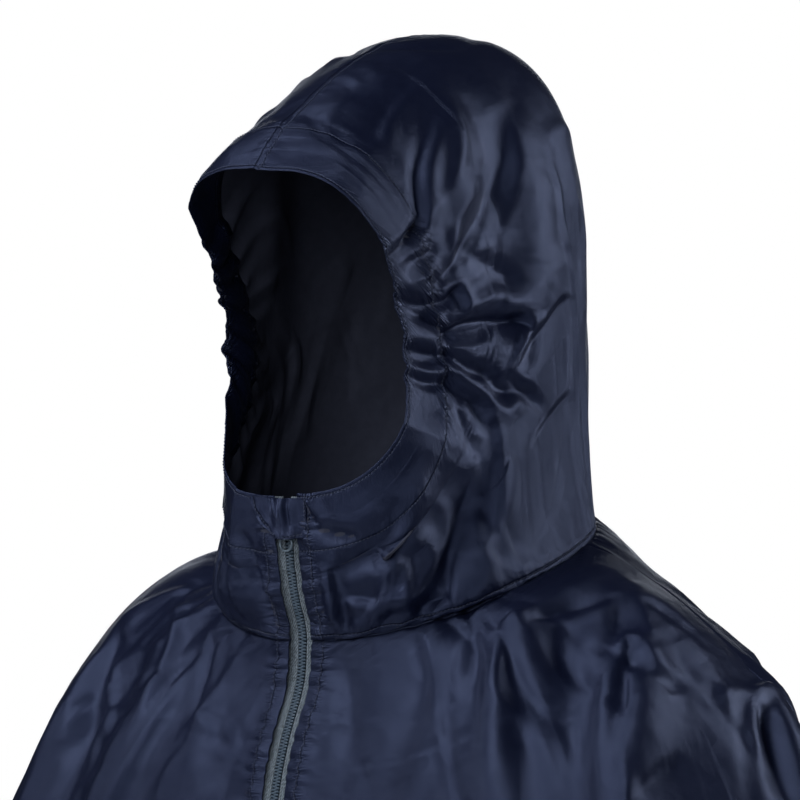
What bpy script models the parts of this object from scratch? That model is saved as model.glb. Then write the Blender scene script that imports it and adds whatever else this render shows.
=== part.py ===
"""A hooded nylon rain poncho, standing open in the form it keeps when it is worn.

Units are metres, +Z is up and the front faces -Y, so +X is the wearer's left. The origin is in the middle
of the neck hole seen from above, level with the crest of the shoulders that carry the garment.

All the cloth lies on one master surface, known by two shares:
  u  once round the body, 0 at the centre front, 0.25 at the wearer's left, 0.5 at the centre back
  w  from -1 at the edge of the face opening, through 0 at the neck seam, to 1 at the hem
Every panel, tape and flap samples that surface, so neighbours meet at their seams.
"""

import functools
import math
from collections import namedtuple

import bmesh
import bpy
import numpy as np
from mathutils import Matrix, Vector

# ---------------------------------------------------------------------------------------------------------
# Sizes
# ---------------------------------------------------------------------------------------------------------

CLOTH_WALL = 0.0015
TAPE_WALL = 0.0010
GAP = 0.0003  # left between pieces that touch on the real garment

# the zip, measured from its centre line, and outwards from the outer face of the cloth
SLIT_HALF = 0.009  # the panels stop this far from the zip's centre line
PLACKET_HALF = 0.018  # and are sewn to the zip's tapes this far from it
TAPE_INNER = 0.0033  # each tape runs from here to the placket seam
TAPE_OUT = -CLOTH_WALL - GAP  # the outer face of the tapes, under the panels
TEETH_HALF = 0.0028
TEETH_OUT = -0.0011
TEETH_WALL = 0.0024

SLIDER_LENGTH = 0.012
SLIDER_HALF = 0.0048
SLIDER_MIDDLE = 0.003  # the slider's middle above the pull's axis
WEB_HALF = 0.0026
WEB_LENGTH = 0.0108
PLATE_WALL = 0.0015
PLATE_OUT = TAPE_OUT + GAP + PLATE_WALL  # the outer face of the slider's front plate
BRIDGE_HALF = 0.0008
BRIDGE_WALL = 0.0009
BRIDGE_HOLE = (0.0030, 0.0022)  # along the zip, and outwards
EDGE_ROUND = 0.0004  # on the edges of the slider and the stops
RING_RADIUS = 0.0047  # to the middle of its wire
RING_WIRE = 0.0008  # the radius of its wire
PULL_DROP = 0.0245  # from the face edge down the zip to the pull's axis
STOP_SIZE = (0.0056, 0.0030, 0.0022)
TOP_STOP_HALF = 0.0011

# the guard over the top of the zip, measured as the zip is, and down from the face edge
GUARD_SEAM = 0.0165  # its sewn side
GUARD_WIDTH = 0.034  # from the slit's left edge to its free corner
GUARD_HEIGHT = 0.0262
GUARD_REST = 0.0009  # its inner face over the panels
GUARD_BULGE = 0.0052  # and more over the slider
GUARD_BULGE_HALF = 0.012
GUARD_BULGE_POWER = 1.5  # above 1, the bulge is narrower at its top
GUARD_TOP = (0.0005, 0.35)  # its top row's drop, and its share of the way to the bulge
GUARD_FOOT = 0.98  # its lowest row, as a share of its height
GUARD_COLUMNS = 10
GUARD_ROWS = 6

HALF_COLUMNS = 32  # columns across half of the garment, from the zip to the centre back
SIDE_SEAM_COLUMN = 18  # the front panel ends here, a little behind the crest of the shoulder
HOOD_ROWS = 16
BODY_ROWS = 15
BODY_ROW_SPREAD = 1.25  # above 1, the rows lie closer together near the neck
ZIP_END_ROW = 7  # the row of the body where the zip and its slit end
CREASE_ANGLE = math.radians(60)  # edges sharper than this aren't shaded smooth

HoodSection = namedtuple(
    "HoodSection", "w throat_y throat_z crown_y crown_z half_width front_square back_square setback lift"
)
# Each section is a tilted ring from the throat, round the cheek, to the seam over the head. The setback
# moves its sides behind the straight line from throat to crown, and the lift raises them.
HOOD_SECTIONS = (
    HoodSection(-1.00, -0.127, 0.061, -0.154, 0.266, 0.081, 3.0, 3.2, 0.042, 0.000),
    HoodSection(-0.88, -0.124, 0.023, -0.126, 0.296, 0.089, 3.2, 2.7, 0.062, 0.000),
    HoodSection(-0.72, -0.122, 0.012, -0.030, 0.350, 0.094, 3.2, 2.5, 0.060, 0.000),
    HoodSection(-0.57, -0.120, 0.002, 0.070, 0.350, 0.098, 3.2, 2.3, 0.040, 0.000),
    HoodSection(-0.42, -0.117, -0.008, 0.116, 0.290, 0.100, 3.2, 2.1, 0.018, 0.000),
    HoodSection(-0.28, -0.114, -0.015, 0.124, 0.200, 0.107, 3.0, 2.0, 0.006, 0.002),
    HoodSection(-0.14, -0.112, -0.022, 0.120, 0.118, 0.116, 2.6, 2.0, 0.002, 0.006),
    HoodSection(0.00, -0.111, -0.029, 0.108, 0.058, 0.127, 2.0, 2.0, 0.000, 0.008),
)

BodySection = namedtuple("BodySection", "w side_x side_z front_y front_z back_y back_z square")
BODY_SECTIONS = (
    BodySection(0.00, 0.127, 0.021, -0.111, -0.029, 0.108, 0.058, 2.0),
    BodySection(0.07, 0.163, 0.014, -0.114, -0.056, 0.127, 0.029, 2.05),
    BodySection(0.14, 0.200, -0.004, -0.129, -0.091, 0.139, -0.018, 2.1),
    BodySection(0.22, 0.248, -0.046, -0.140, -0.130, 0.152, -0.070, 2.3),
    BodySection(0.32, 0.296, -0.120, -0.148, -0.200, 0.156, -0.150, 2.4),
    BodySection(0.46, 0.345, -0.260, -0.160, -0.320, 0.162, -0.290, 2.4),
    BodySection(0.62, 0.378, -0.420, -0.175, -0.460, 0.175, -0.440, 2.4),
    BodySection(0.80, 0.405, -0.620, -0.195, -0.640, 0.197, -0.630, 2.35),
    BodySection(1.00, 0.430, -0.860, -0.220, -0.860, 0.222, -0.860, 2.3),
)


def curve_through(at, known, value):
    """A smooth curve through the known values, read at one place or at an array of places."""
    known, value = np.asarray(known, float), np.asarray(value, float)
    slope = np.gradient(value, known)
    first = np.clip(np.searchsorted(known, at, side="right") - 1, 0, len(known) - 2)
    step = known[first + 1] - known[first]
    share = (at - known[first]) / step
    rest = 1 - share
    return (
        (1 + 2 * share) * rest**2 * value[first]
        + share * rest**2 * step * slope[first]
        + share**2 * (3 - 2 * share) * value[first + 1]
        - share**2 * rest * step * slope[first + 1]
    )


def section_at(w, sections):
    """Every size of a section at w, by name."""
    known = [row.w for row in sections]
    return {
        name: curve_through(w, known, [getattr(row, name) for row in sections])
        for name in sections[0]._fields[1:]
    }


# ---------------------------------------------------------------------------------------------------------
# The master surface
# ---------------------------------------------------------------------------------------------------------

RING_STEPS = 160  # points on half a ring before they are spaced evenly
NECK_EASE = 0.10  # share of the body over which its sections ease out of the neck seam's own curve
REACH = (0.002, 0.004)  # shares round and down to each side, over which a slope is read
FOLD_REACH = (0.004, 0.030)  # the same for the direction of a fold, to round it over the neck seam
SEAM_CALM = 0.04  # share down over which the neck seam holds the folds flat
SETBACK_POWERS = (2.3, 1.2)  # how squarely the setback ends, towards the throat and towards the crown
DIP_POWER = 1.6  # how fast the shoulders fall away to the middle of the chest and of the back


def half_ring(front_square, back_square):
    """How far sideways (0 to 1) and forwards (1 to -1) a half superellipse goes, from front to back."""
    angle = np.linspace(0, math.pi, RING_STEPS + 1)
    power = np.where(angle <= math.pi / 2, 2 / front_square, 2 / back_square)
    sideways = np.abs(np.sin(angle)) ** power
    forwards = np.sign(np.cos(angle)) * np.abs(np.cos(angle)) ** power
    return sideways, forwards


def hood_ring(w):
    at = section_at(w, HOOD_SECTIONS)
    sideways, forwards = half_ring(at["front_square"], at["back_square"])
    middle_y, reach_y = (at["throat_y"] + at["crown_y"]) / 2, (at["throat_y"] - at["crown_y"]) / 2
    middle_z, reach_z = (at["throat_z"] + at["crown_z"]) / 2, (at["throat_z"] - at["crown_z"]) / 2
    off_line = 1 - np.abs(forwards) ** np.where(forwards > 0, *SETBACK_POWERS)
    x = at["half_width"] * sideways
    y = middle_y + reach_y * forwards + at["setback"] * off_line
    z = middle_z + reach_z * forwards + at["lift"] * sideways**2
    return np.stack([x, y, z], axis=-1)


def body_section_ring(w):
    at = section_at(w, BODY_SECTIONS)
    sideways, forwards = half_ring(at["square"], at["square"])
    near_middle = np.abs(forwards) ** DIP_POWER
    middle_z = np.where(forwards > 0, at["front_z"], at["back_z"])
    x = at["side_x"] * sideways
    y = np.where(forwards > 0, at["front_y"], at["back_y"]) * np.abs(forwards)
    z = middle_z * near_middle + at["side_z"] * (1 - near_middle)
    return np.stack([x, y, z], axis=-1)


def ease(share):
    share = np.clip(share, 0, 1)
    return share * share * (3 - 2 * share)


@functools.cache
def half_round(w):
    """The points of half a ring on the row w, from front to back, and the length walked to each."""
    if w < 0:
        points = hood_ring(w)
    else:
        seam_share = 1 - ease(w / NECK_EASE)
        points = body_section_ring(w) + seam_share * (hood_ring(0.0) - body_section_ring(0.0))
    steps = np.linalg.norm(np.diff(points, axis=0), axis=1)
    return points, np.concatenate([[0], np.cumsum(steps)])


def plain_points(u, w):
    """The surface without folds. u and w are arrays of one shape, and w is the same all along each row."""
    points = np.empty(u.shape + (3,))
    for row, share in enumerate(w[:, 0]):
        half, walked = half_round(float(share))
        turn = np.mod(u[row], 1)
        left = turn <= 0.5
        walk = np.where(left, 2 * turn, 2 - 2 * turn) * walked[-1]
        for axis in range(3):
            points[row, :, axis] = np.interp(walk, walked, half[:, axis])
        points[row, :, 0] *= np.where(left, 1, -1)
    return points


# ---------------------------------------------------------------------------------------------------------
# Folds
# ---------------------------------------------------------------------------------------------------------

Station = namedtuple("Station", "u w width height")
# A fold runs through its stations. Its width is the distance over which it sinks to about a third of its
# height, and a negative height is a trough.
FOLDS = {
    # the elastic draws each cheek of the face opening in
    "left_cheek": (
        Station(0.165, -0.95, 0.035, 0.000),
        Station(0.210, -0.95, 0.045, -0.011),
        Station(0.290, -0.95, 0.045, -0.011),
        Station(0.345, -0.95, 0.035, 0.000),
    ),
    "right_cheek": (
        Station(0.655, -0.95, 0.035, 0.000),
        Station(0.710, -0.95, 0.045, -0.010),
        Station(0.790, -0.95, 0.045, -0.010),
        Station(0.835, -0.95, 0.035, 0.000),
    ),
    # the sides of the hood billow behind the drawn cheeks
    "left_billow": (
        Station(0.400, -0.68, 0.020, 0.003),
        Station(0.372, -0.66, 0.022, 0.006),
        Station(0.290, -0.63, 0.022, 0.006),
        Station(0.258, -0.47, 0.026, 0.003),
    ),
    "left_billow_trough": (
        Station(0.400, -0.71, 0.016, -0.002),
        Station(0.340, -0.72, 0.018, -0.006),
        Station(0.294, -0.75, 0.018, -0.004),
    ),
    "left_temple": (
        Station(0.420, -0.76, 0.014, 0.002),
        Station(0.392, -0.78, 0.015, 0.005),
        Station(0.360, -0.80, 0.016, 0.004),
    ),
    "right_billow": (
        Station(0.610, -0.70, 0.020, 0.003),
        Station(0.650, -0.66, 0.022, 0.006),
        Station(0.720, -0.60, 0.024, 0.005),
        Station(0.750, -0.45, 0.026, 0.002),
    ),
    "right_billow_trough": (
        Station(0.620, -0.76, 0.016, -0.002),
        Station(0.670, -0.76, 0.018, -0.005),
        Station(0.705, -0.78, 0.018, -0.003),
    ),
    # the slack below the chin and the jaw
    "left_jaw": (
        Station(0.232, -0.45, 0.022, 0.003),
        Station(0.183, -0.38, 0.020, 0.007),
        Station(0.150, -0.06, 0.016, 0.002),
    ),
    "left_jaw_trough": (
        Station(0.200, -0.55, 0.018, -0.003),
        Station(0.140, -0.42, 0.016, -0.006),
        Station(0.118, -0.12, 0.014, -0.002),
    ),
    "left_chin": (
        Station(0.120, -0.88, 0.014, 0.002),
        Station(0.085, -0.70, 0.016, 0.006),
        Station(0.070, -0.30, 0.014, 0.003),
    ),
    "right_jaw": (
        Station(0.770, -0.48, 0.022, 0.003),
        Station(0.822, -0.38, 0.020, 0.006),
        Station(0.856, -0.08, 0.016, 0.002),
    ),
    "right_chin": (
        Station(0.890, -0.86, 0.014, 0.002),
        Station(0.918, -0.62, 0.016, 0.005),
        Station(0.930, -0.25, 0.014, 0.002),
    ),
    "nape": (
        Station(0.420, -0.20, 0.022, 0.001),
        Station(0.500, -0.26, 0.024, 0.006),
        Station(0.575, -0.21, 0.022, 0.001),
    ),
    # the drapes of the front
    "left_swag": (
        Station(0.255, 0.03, 0.022, 0.002),
        Station(0.205, 0.04, 0.022, 0.005),
        Station(0.154, 0.10, 0.023, 0.009),
        Station(0.128, 0.22, 0.025, 0.011),
        Station(0.112, 0.60, 0.036, 0.015),
        Station(0.106, 1.00, 0.045, 0.022),
    ),
    "left_hollow": (
        Station(0.200, 0.09, 0.026, -0.004),
        Station(0.181, 0.15, 0.030, -0.010),
        Station(0.152, 0.24, 0.030, -0.008),
        Station(0.142, 0.45, 0.034, -0.004),
    ),
    "left_pinch": (
        Station(0.216, 0.13, 0.024, 0.003),
        Station(0.197, 0.20, 0.024, 0.014),
        Station(0.174, 0.30, 0.025, 0.019),
        Station(0.166, 0.60, 0.034, 0.021),
        Station(0.162, 1.00, 0.042, 0.026),
    ),
    "left_arm": (
        Station(0.288, 0.22, 0.016, 0.006),
        Station(0.262, 0.30, 0.020, 0.016),
        Station(0.246, 0.44, 0.028, 0.020),
        Station(0.238, 1.00, 0.044, 0.028),
    ),
    "left_breast": (
        Station(0.052, 0.30, 0.026, 0.003),
        Station(0.048, 0.60, 0.034, 0.010),
        Station(0.046, 1.00, 0.040, 0.018),
    ),
    "right_breast": (
        Station(0.945, 0.12, 0.018, 0.003),
        Station(0.948, 0.34, 0.024, 0.008),
        Station(0.950, 1.00, 0.040, 0.018),
    ),
    "right_swag": (
        Station(0.830, 0.08, 0.016, 0.004),
        Station(0.872, 0.14, 0.018, 0.009),
        Station(0.892, 0.24, 0.022, 0.012),
        Station(0.896, 1.00, 0.042, 0.022),
    ),
    "right_pinch": (
        Station(0.800, 0.15, 0.016, 0.004),
        Station(0.826, 0.26, 0.022, 0.015),
        Station(0.838, 0.50, 0.032, 0.019),
        Station(0.842, 1.00, 0.042, 0.025),
    ),
    "right_hollow": (
        Station(0.840, 0.10, 0.020, -0.004),
        Station(0.862, 0.22, 0.024, -0.007),
        Station(0.868, 0.42, 0.030, -0.003),
    ),
    "right_arm": (
        Station(0.722, 0.20, 0.018, 0.005),
        Station(0.752, 0.33, 0.024, 0.016),
        Station(0.764, 0.55, 0.032, 0.020),
        Station(0.768, 1.00, 0.044, 0.027),
    ),
    # the drapes of the back
    "left_blade": (
        Station(0.330, 0.12, 0.018, 0.003),
        Station(0.318, 0.30, 0.026, 0.013),
        Station(0.312, 1.00, 0.044, 0.024),
    ),
    "left_back": (
        Station(0.400, 0.18, 0.020, 0.003),
        Station(0.386, 0.42, 0.030, 0.012),
        Station(0.380, 1.00, 0.044, 0.026),
    ),
    "left_middle_back": (
        Station(0.462, 0.34, 0.024, 0.002),
        Station(0.454, 0.62, 0.034, 0.011),
        Station(0.450, 1.00, 0.042, 0.020),
    ),
    "right_middle_back": (
        Station(0.524, 0.22, 0.022, 0.002),
        Station(0.528, 0.50, 0.032, 0.011),
        Station(0.526, 1.00, 0.044, 0.024),
    ),
    "right_back": (
        Station(0.588, 0.14, 0.018, 0.003),
        Station(0.602, 0.36, 0.028, 0.013),
        Station(0.606, 1.00, 0.044, 0.023),
    ),
    "right_blade": (
        Station(0.662, 0.10, 0.018, 0.004),
        Station(0.684, 0.30, 0.026, 0.013),
        Station(0.690, 1.00, 0.044, 0.027),
    ),
}
FOLD_STEPS = 10  # points between two stations


@functools.cache
def fold_line(stations):
    """The line of a fold along the plain surface, with its width and height at each point."""
    places = np.linspace(0, len(stations) - 1, FOLD_STEPS * (len(stations) - 1) + 1)
    u, w, width, height = (
        curve_through(places, range(len(stations)), column) for column in zip(*stations)
    )
    return plain_points(u[:, None], w[:, None])[:, 0], width, height


def fold_lift(points):
    """How far the folds lift each point of the plain surface off it."""
    lift = np.zeros(points.shape[:-1])
    for stations in FOLDS.values():
        line, width, height = fold_line(stations)
        away = np.linalg.norm(points[..., None, :] - line, axis=-1)
        nearest = away.argmin(axis=-1)
        away = np.take_along_axis(away, nearest[..., None], axis=-1)[..., 0]
        lift += height[nearest] * np.exp(-((away / width[nearest]) ** 2))
    return lift


def across(points_at, u, w, reach):
    """Unit tangents round the body and down it, and the unit normal outwards, of a surface."""
    round_body = points_at(u + reach[0], w) - points_at(u - reach[0], w)
    down_body = points_at(u, w + reach[1]) - points_at(u, w - reach[1])
    normal = np.cross(down_body, round_body)
    return [way / np.linalg.norm(way, axis=-1, keepdims=True) for way in (round_body, down_body, normal)]


def folded_points(u, w):
    plain = plain_points(u, w)
    lift = fold_lift(plain) * (1 - np.exp(-((w / SEAM_CALM) ** 2)))
    return plain + lift[..., None] * across(plain_points, u, w, FOLD_REACH)[2]


def corners(grid):
    """The four corners of each quad of a grid, in reading order."""
    return grid[:-1, :-1], grid[:-1, 1:], grid[1:, :-1], grid[1:, 1:]


class Surface:
    """The folded surface at a grid of shares: its points, its tangents and its outward normals."""

    def __init__(self, u, w):
        self.shares = u, w
        self.points = folded_points(u, w)
        self.round_body, self.down_body, self.normals = across(folded_points, u, w, REACH)

    def quads_that_fall(self):
        """For each quad, whether the diagonal from its first corner lies nearer the surface's own middle."""
        middle = folded_points(*(sum(corners(share)) / 4 for share in self.shares))
        first, second, third, fourth = corners(self.points)
        falling = np.linalg.norm((first + fourth) / 2 - middle, axis=-1)
        rising = np.linalg.norm((second + third) / 2 - middle, axis=-1)
        return falling <= rising


# ---------------------------------------------------------------------------------------------------------
# Rows and columns
# ---------------------------------------------------------------------------------------------------------

HOOD_W = -np.arange(HOOD_ROWS + 1)[::-1] / HOOD_ROWS
BODY_W = (np.arange(BODY_ROWS + 1) / BODY_ROWS) ** BODY_ROW_SPREAD


def shares_beside_zip(w, distances):
    """The u of points at these distances to the wearer's left of the zip, on the rows w."""
    halves = [half_round(float(share))[1][-1] for share in w]
    return np.asarray(distances)[None] / (2 * np.array(halves)[:, None])


def columns_of_half(w):
    """The u of the columns from the slit round the wearer's left to the centre back, on the rows w."""
    beside = shares_beside_zip(w, [SLIT_HALF, PLACKET_HALF])
    spread = np.linspace(0, 1, HALF_COLUMNS)
    rest = beside[:, 1:] + spread * (0.5 - beside[:, 1:])
    return np.concatenate([beside[:, :1], rest], axis=1)


def grid_of(columns, w):
    return columns, np.broadcast_to(np.asarray(w)[:, None], columns.shape)


# ---------------------------------------------------------------------------------------------------------
# Tools
# ---------------------------------------------------------------------------------------------------------


def start_collections():
    for leftover in list(bpy.data.objects):
        bpy.data.objects.remove(leftover)
    made = {}
    for name in ("poncho", "cutters"):
        made[name] = bpy.data.collections.new(name)
        bpy.context.scene.collection.children.link(made[name])
    return made


def finish_of(name, colour, roughness, metallic=0.0):
    material = bpy.data.materials.new(name)
    material.use_nodes = True
    shader = material.node_tree.nodes["Principled BSDF"]
    shader.inputs["Base Color"].default_value = (*colour, 1.0)
    shader.inputs["Roughness"].default_value = roughness
    shader.inputs["Metallic"].default_value = metallic
    return material


def placed(name, mesh, collection, material=None):
    piece = bpy.data.objects.new(name, mesh)
    collection.objects.link(piece)
    if material:
        mesh.materials.clear()
        mesh.materials.append(material)
    return piece


def evaluated_mesh(piece):
    """The mesh of an object with its modifiers applied. The object itself is removed."""
    mesh = bpy.data.meshes.new_from_object(piece.evaluated_get(bpy.context.evaluated_depsgraph_get()))
    mesh.transform(piece.matrix_world)
    bpy.data.objects.remove(piece)
    return mesh


def flat_pattern(falling, wall, collection, left_out=()):
    """A flat slab, one unit to a column and a row, with its wall below zero. left_out names its holes."""
    rows, columns = falling.shape
    shape = bmesh.new()
    bmesh.ops.create_grid(shape, x_segments=columns, y_segments=rows, size=0.5)
    for point in shape.verts:
        point.co = (round((point.co.x + 0.5) * columns), round((point.co.y + 0.5) * rows), 0)
    for face in shape.faces[:]:
        column, row = (int(middle) for middle in face.calc_center_median().xy)
        if (column, row) in left_out:
            bmesh.ops.delete(shape, geom=[face], context="FACES")
            continue
        upper, lower = (column, column + 1) if falling[row, column] else (column + 1, column)
        ends = {(upper, row), (lower, row + 1)}
        bmesh.utils.face_split(face, *(at for at in face.verts if (at.co.x, at.co.y) in ends))
    mesh = bpy.data.meshes.new("pattern")
    shape.to_mesh(mesh)
    shape.free()
    pattern = placed("pattern", mesh, collection)
    solidify = pattern.modifiers.new("wall", "SOLIDIFY")
    solidify.thickness = wall
    solidify.offset = -1
    return evaluated_mesh(pattern)


def wrapped(name, surface, out, wall, collection, material, left_out=()):
    """A cloth piece: its flat pattern, wrapped on a surface. out is how far its outer face lies off it."""
    mesh = flat_pattern(surface.quads_that_fall(), wall, collection, left_out)
    out = np.broadcast_to(out, surface.points.shape[:2])
    for point in mesh.vertices:
        at = round(point.co.y), round(point.co.x)
        point.co = surface.points[at] + (out[at] + point.co.z) * surface.normals[at]
    mesh.flip_normals()  # columns run to the wearer's left and rows run down, so the wrap turns it over
    mesh.shade_smooth()
    mesh.set_sharp_from_angle(angle=CREASE_ANGLE)
    return placed(name, mesh, collection, material)


# ---------------------------------------------------------------------------------------------------------
# The cloth
# ---------------------------------------------------------------------------------------------------------


def draw_back(surface, *edges):
    """Draws the edges that lie at a seam back by half a gap."""
    half = GAP / 2
    if "top" in edges:
        surface.points[0] += half * surface.down_body[0]
    if "bottom" in edges:
        surface.points[-1] -= half * surface.down_body[-1]
    if "first" in edges:
        surface.points[:, 0] += half * surface.round_body[:, 0]
    if "last" in edges:
        surface.points[:, -1] -= half * surface.round_body[:, -1]


def add_hood(side, columns, collection, material):
    """One half of the hood, from the zip to the seam over the head."""
    if side == "right":
        columns = 1 - columns[:, ::-1]
    surface = Surface(*grid_of(columns, HOOD_W))
    draw_back(surface, "bottom", "last" if side == "left" else "first")
    wrapped(f"hood_{side}", surface, 0.0, CLOTH_WALL, collection, material)


def add_front(columns, collection, material):
    """The front in one piece, slit down the middle as far as the zip reaches."""
    left = columns[:, : SIDE_SEAM_COLUMN + 1]
    surface = Surface(*grid_of(np.concatenate([-left[:, ::-1], left], axis=1), BODY_W))
    draw_back(surface, "top", "first", "last")
    slit = {(SIDE_SEAM_COLUMN, row) for row in range(ZIP_END_ROW)}
    wrapped("front_panel", surface, 0.0, CLOTH_WALL, collection, material, left_out=slit)


def add_back(columns, collection, material):
    left = columns[:, SIDE_SEAM_COLUMN:]
    surface = Surface(*grid_of(np.concatenate([left, 1 - left[:, -2::-1]], axis=1), BODY_W))
    draw_back(surface, "top", "first", "last")
    wrapped("back_panel", surface, 0.0, CLOTH_WALL, collection, material)


# ---------------------------------------------------------------------------------------------------------
# The zip and its guard
# ---------------------------------------------------------------------------------------------------------

ZIP_STEPS = 400
ZIP_W = np.linspace(-1, BODY_W[ZIP_END_ROW], ZIP_STEPS + 1)
ZIP_LINE = folded_points(*grid_of(np.zeros((len(ZIP_W), 1)), ZIP_W))[:, 0]
ZIP_WALKED = np.concatenate([[0], np.cumsum(np.linalg.norm(np.diff(ZIP_LINE, axis=0), axis=1))])
STOP_DROP = ZIP_WALKED[-1] - 2 * GAP  # the lower end of the bottom stop, just clear of the slit's end


def down_zip(drop):
    """The w of the point this far down the zip from the face edge."""
    return np.interp(drop, ZIP_WALKED, ZIP_W)


def add_zip(collection, tape, teeth):
    """The two tapes and the closed teeth. They share the panels' rows, so the gap to them is even."""
    rows = np.concatenate([HOOD_W[:-1], BODY_W[: ZIP_END_ROW + 1]])
    left = shares_beside_zip(rows, [TAPE_INNER, SLIT_HALF, PLACKET_HALF])
    for side, columns in (("left", left), ("right", -left[:, ::-1])):
        surface = Surface(*grid_of(columns, rows))
        wrapped(f"zip_tape_{side}", surface, TAPE_OUT, TAPE_WALL, collection, tape)
    below_slider = down_zip(PULL_DROP + SLIDER_LENGTH / 2 - SLIDER_MIDDLE + GAP)
    above_stop = down_zip(STOP_DROP - STOP_SIZE[1] - GAP)
    rows = rows[(rows > below_slider) & (rows < above_stop)]
    rows = np.concatenate([[below_slider], rows, [above_stop]])
    columns = shares_beside_zip(rows, [-TEETH_HALF, TEETH_HALF])
    surface = Surface(*grid_of(columns, rows))
    wrapped("zip_teeth", surface, TEETH_OUT, TEETH_WALL, collection, teeth)


def add_guard(collection, material):
    """The flap over the top of the zip: sewn at the wearer's left, free and rounded at the right."""
    top_drop, top_bulge = GUARD_TOP
    drop = np.linspace(top_drop, GUARD_FOOT * GUARD_HEIGHT, GUARD_ROWS + 1)
    free_side = SLIT_HALF - GUARD_WIDTH * np.sqrt(1 - (drop / GUARD_HEIGHT) ** 2)
    share = np.linspace(0, 1, GUARD_COLUMNS + 1)
    beside = free_side[:, None] + share * (GUARD_SEAM - free_side[:, None])
    w = down_zip(drop)
    columns = beside * shares_beside_zip(w, [1.0])
    surface = Surface(*grid_of(columns, w))
    over_slider = np.cos(np.clip(beside / GUARD_BULGE_HALF, -1, 1) * math.pi / 2) ** GUARD_BULGE_POWER
    near_slider = ease(top_bulge + drop / (PULL_DROP - SLIDER_LENGTH))
    out = GUARD_REST + GUARD_BULGE * over_slider * near_slider[:, None] + CLOTH_WALL
    wrapped("chin_guard", surface, out, CLOTH_WALL, collection, material)


def zip_frame(drop):
    """A point on the cloth over the zip, with a matrix whose columns point left, up the zip and out."""
    at = Surface(*grid_of(np.zeros((1, 1)), [down_zip(drop)]))
    left, out = Vector((1, 0, 0)), Vector(at.normals[0, 0])
    return Vector(at.points[0, 0]), Matrix((left, out.cross(left), out)).transposed()


def block(name, size, centre, frame, collection, material=None):
    """A box with its sizes and centre given in a frame of the zip."""
    origin, turn = frame
    mesh = bpy.data.meshes.new(name)
    shape = bmesh.new()
    bmesh.ops.create_cube(shape, size=1)
    bmesh.ops.scale(shape, vec=size, verts=shape.verts)
    shape.to_mesh(mesh)
    shape.free()
    piece = placed(name, mesh, collection, material)
    piece.matrix_world = Matrix.Translation(origin + turn @ Vector(centre)) @ turn.to_4x4()
    return piece


def bevelled(piece, width, segments=2):
    bevel = piece.modifiers.new("rounded edges", "BEVEL")
    bevel.width = width
    bevel.segments = segments
    return piece


def combined(piece, other, operation):
    """Joins the other object to a piece or cuts it from the piece, and sets it aside."""
    boolean = piece.modifiers.new(operation.lower(), "BOOLEAN")
    boolean.object = other
    boolean.operation = operation
    other.hide_render = True
    other.display_type = "WIRE"


def add_slider(collections, material):
    """Two plates joined by a web between the tapes, and a bridge in front that holds the pull."""
    parts, cutters = collections["poncho"], collections["cutters"]
    frame = zip_frame(PULL_DROP)
    inner_plate_out = TAPE_OUT - TAPE_WALL - GAP
    web = (PLATE_OUT - PLATE_WALL / 2, inner_plate_out - PLATE_WALL / 2)
    hole_length, hole_height = BRIDGE_HOLE
    plate = (2 * SLIDER_HALF, SLIDER_LENGTH, PLATE_WALL)
    slider = block("zip_slider", plate, (0, SLIDER_MIDDLE, web[0]), frame, parts, material)
    bevelled(slider, EDGE_ROUND)
    back = block("slider_back", plate, (0, SLIDER_MIDDLE, web[1]), frame, cutters)
    core = block(
        "slider_core",
        (2 * WEB_HALF, WEB_LENGTH, web[0] - web[1]),
        (0, SLIDER_MIDDLE, sum(web) / 2),
        frame,
        cutters,
    )
    height = hole_height + BRIDGE_WALL + PLATE_WALL / 2
    bridge = block(
        "slider_bridge",
        (2 * BRIDGE_HALF, hole_length + 2 * BRIDGE_WALL, height),
        (0, 0, PLATE_OUT + hole_height + BRIDGE_WALL - height / 2),
        frame,
        cutters,
    )
    bevelled(bridge, EDGE_ROUND)
    hole = block(
        "slider_hole",
        (4 * BRIDGE_HALF, hole_length, hole_height),
        (0, 0, PLATE_OUT + hole_height / 2),
        frame,
        cutters,
    )
    combined(bridge, hole, "DIFFERENCE")
    for other in (bevelled(back, EDGE_ROUND), core, bridge):
        combined(slider, other, "UNION")


def pull_axis():
    """The middle of the hole in the slider's bridge, where the pull's wire turns."""
    origin, turn = zip_frame(PULL_DROP)
    return origin + turn @ Vector((0, 0, PLATE_OUT + BRIDGE_HOLE[1] / 2))


def add_pull(collection, material):
    """The ring that the slider is pulled by. It hangs straight down from its axis, facing forwards."""
    bpy.ops.mesh.primitive_torus_add(
        major_radius=RING_RADIUS,
        minor_radius=RING_WIRE,
        major_segments=24,
        minor_segments=8,
        rotation=(math.pi / 2, 0, 0),
    )
    ring_made = bpy.context.object
    mesh = ring_made.data
    mesh.transform(Matrix.Translation((0, 0, -RING_RADIUS)) @ ring_made.rotation_euler.to_matrix().to_4x4())
    bpy.data.objects.remove(ring_made)
    mesh.shade_smooth()
    placed("zip_pull", mesh, collection, material).location = pull_axis()


def add_stops(collection, material):
    width, length, height = STOP_SIZE
    out = TEETH_OUT - TEETH_WALL / 2
    bottom = block(
        "zip_bottom_stop",
        STOP_SIZE,
        (0, length / 2, out),
        zip_frame(STOP_DROP),
        collection,
        material,
    )
    bevelled(bottom, EDGE_ROUND)
    above_slider = PULL_DROP - SLIDER_MIDDLE - SLIDER_LENGTH / 2 - GAP
    for side, turn in (("left", 1), ("right", -1)):
        stop = block(
            f"zip_top_stop_{side}",
            (2 * TOP_STOP_HALF, length, height),
            (turn * (TOP_STOP_HALF + GAP), length / 2, out),
            zip_frame(above_slider),
            collection,
            material,
        )
        bevelled(stop, EDGE_ROUND)


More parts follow.
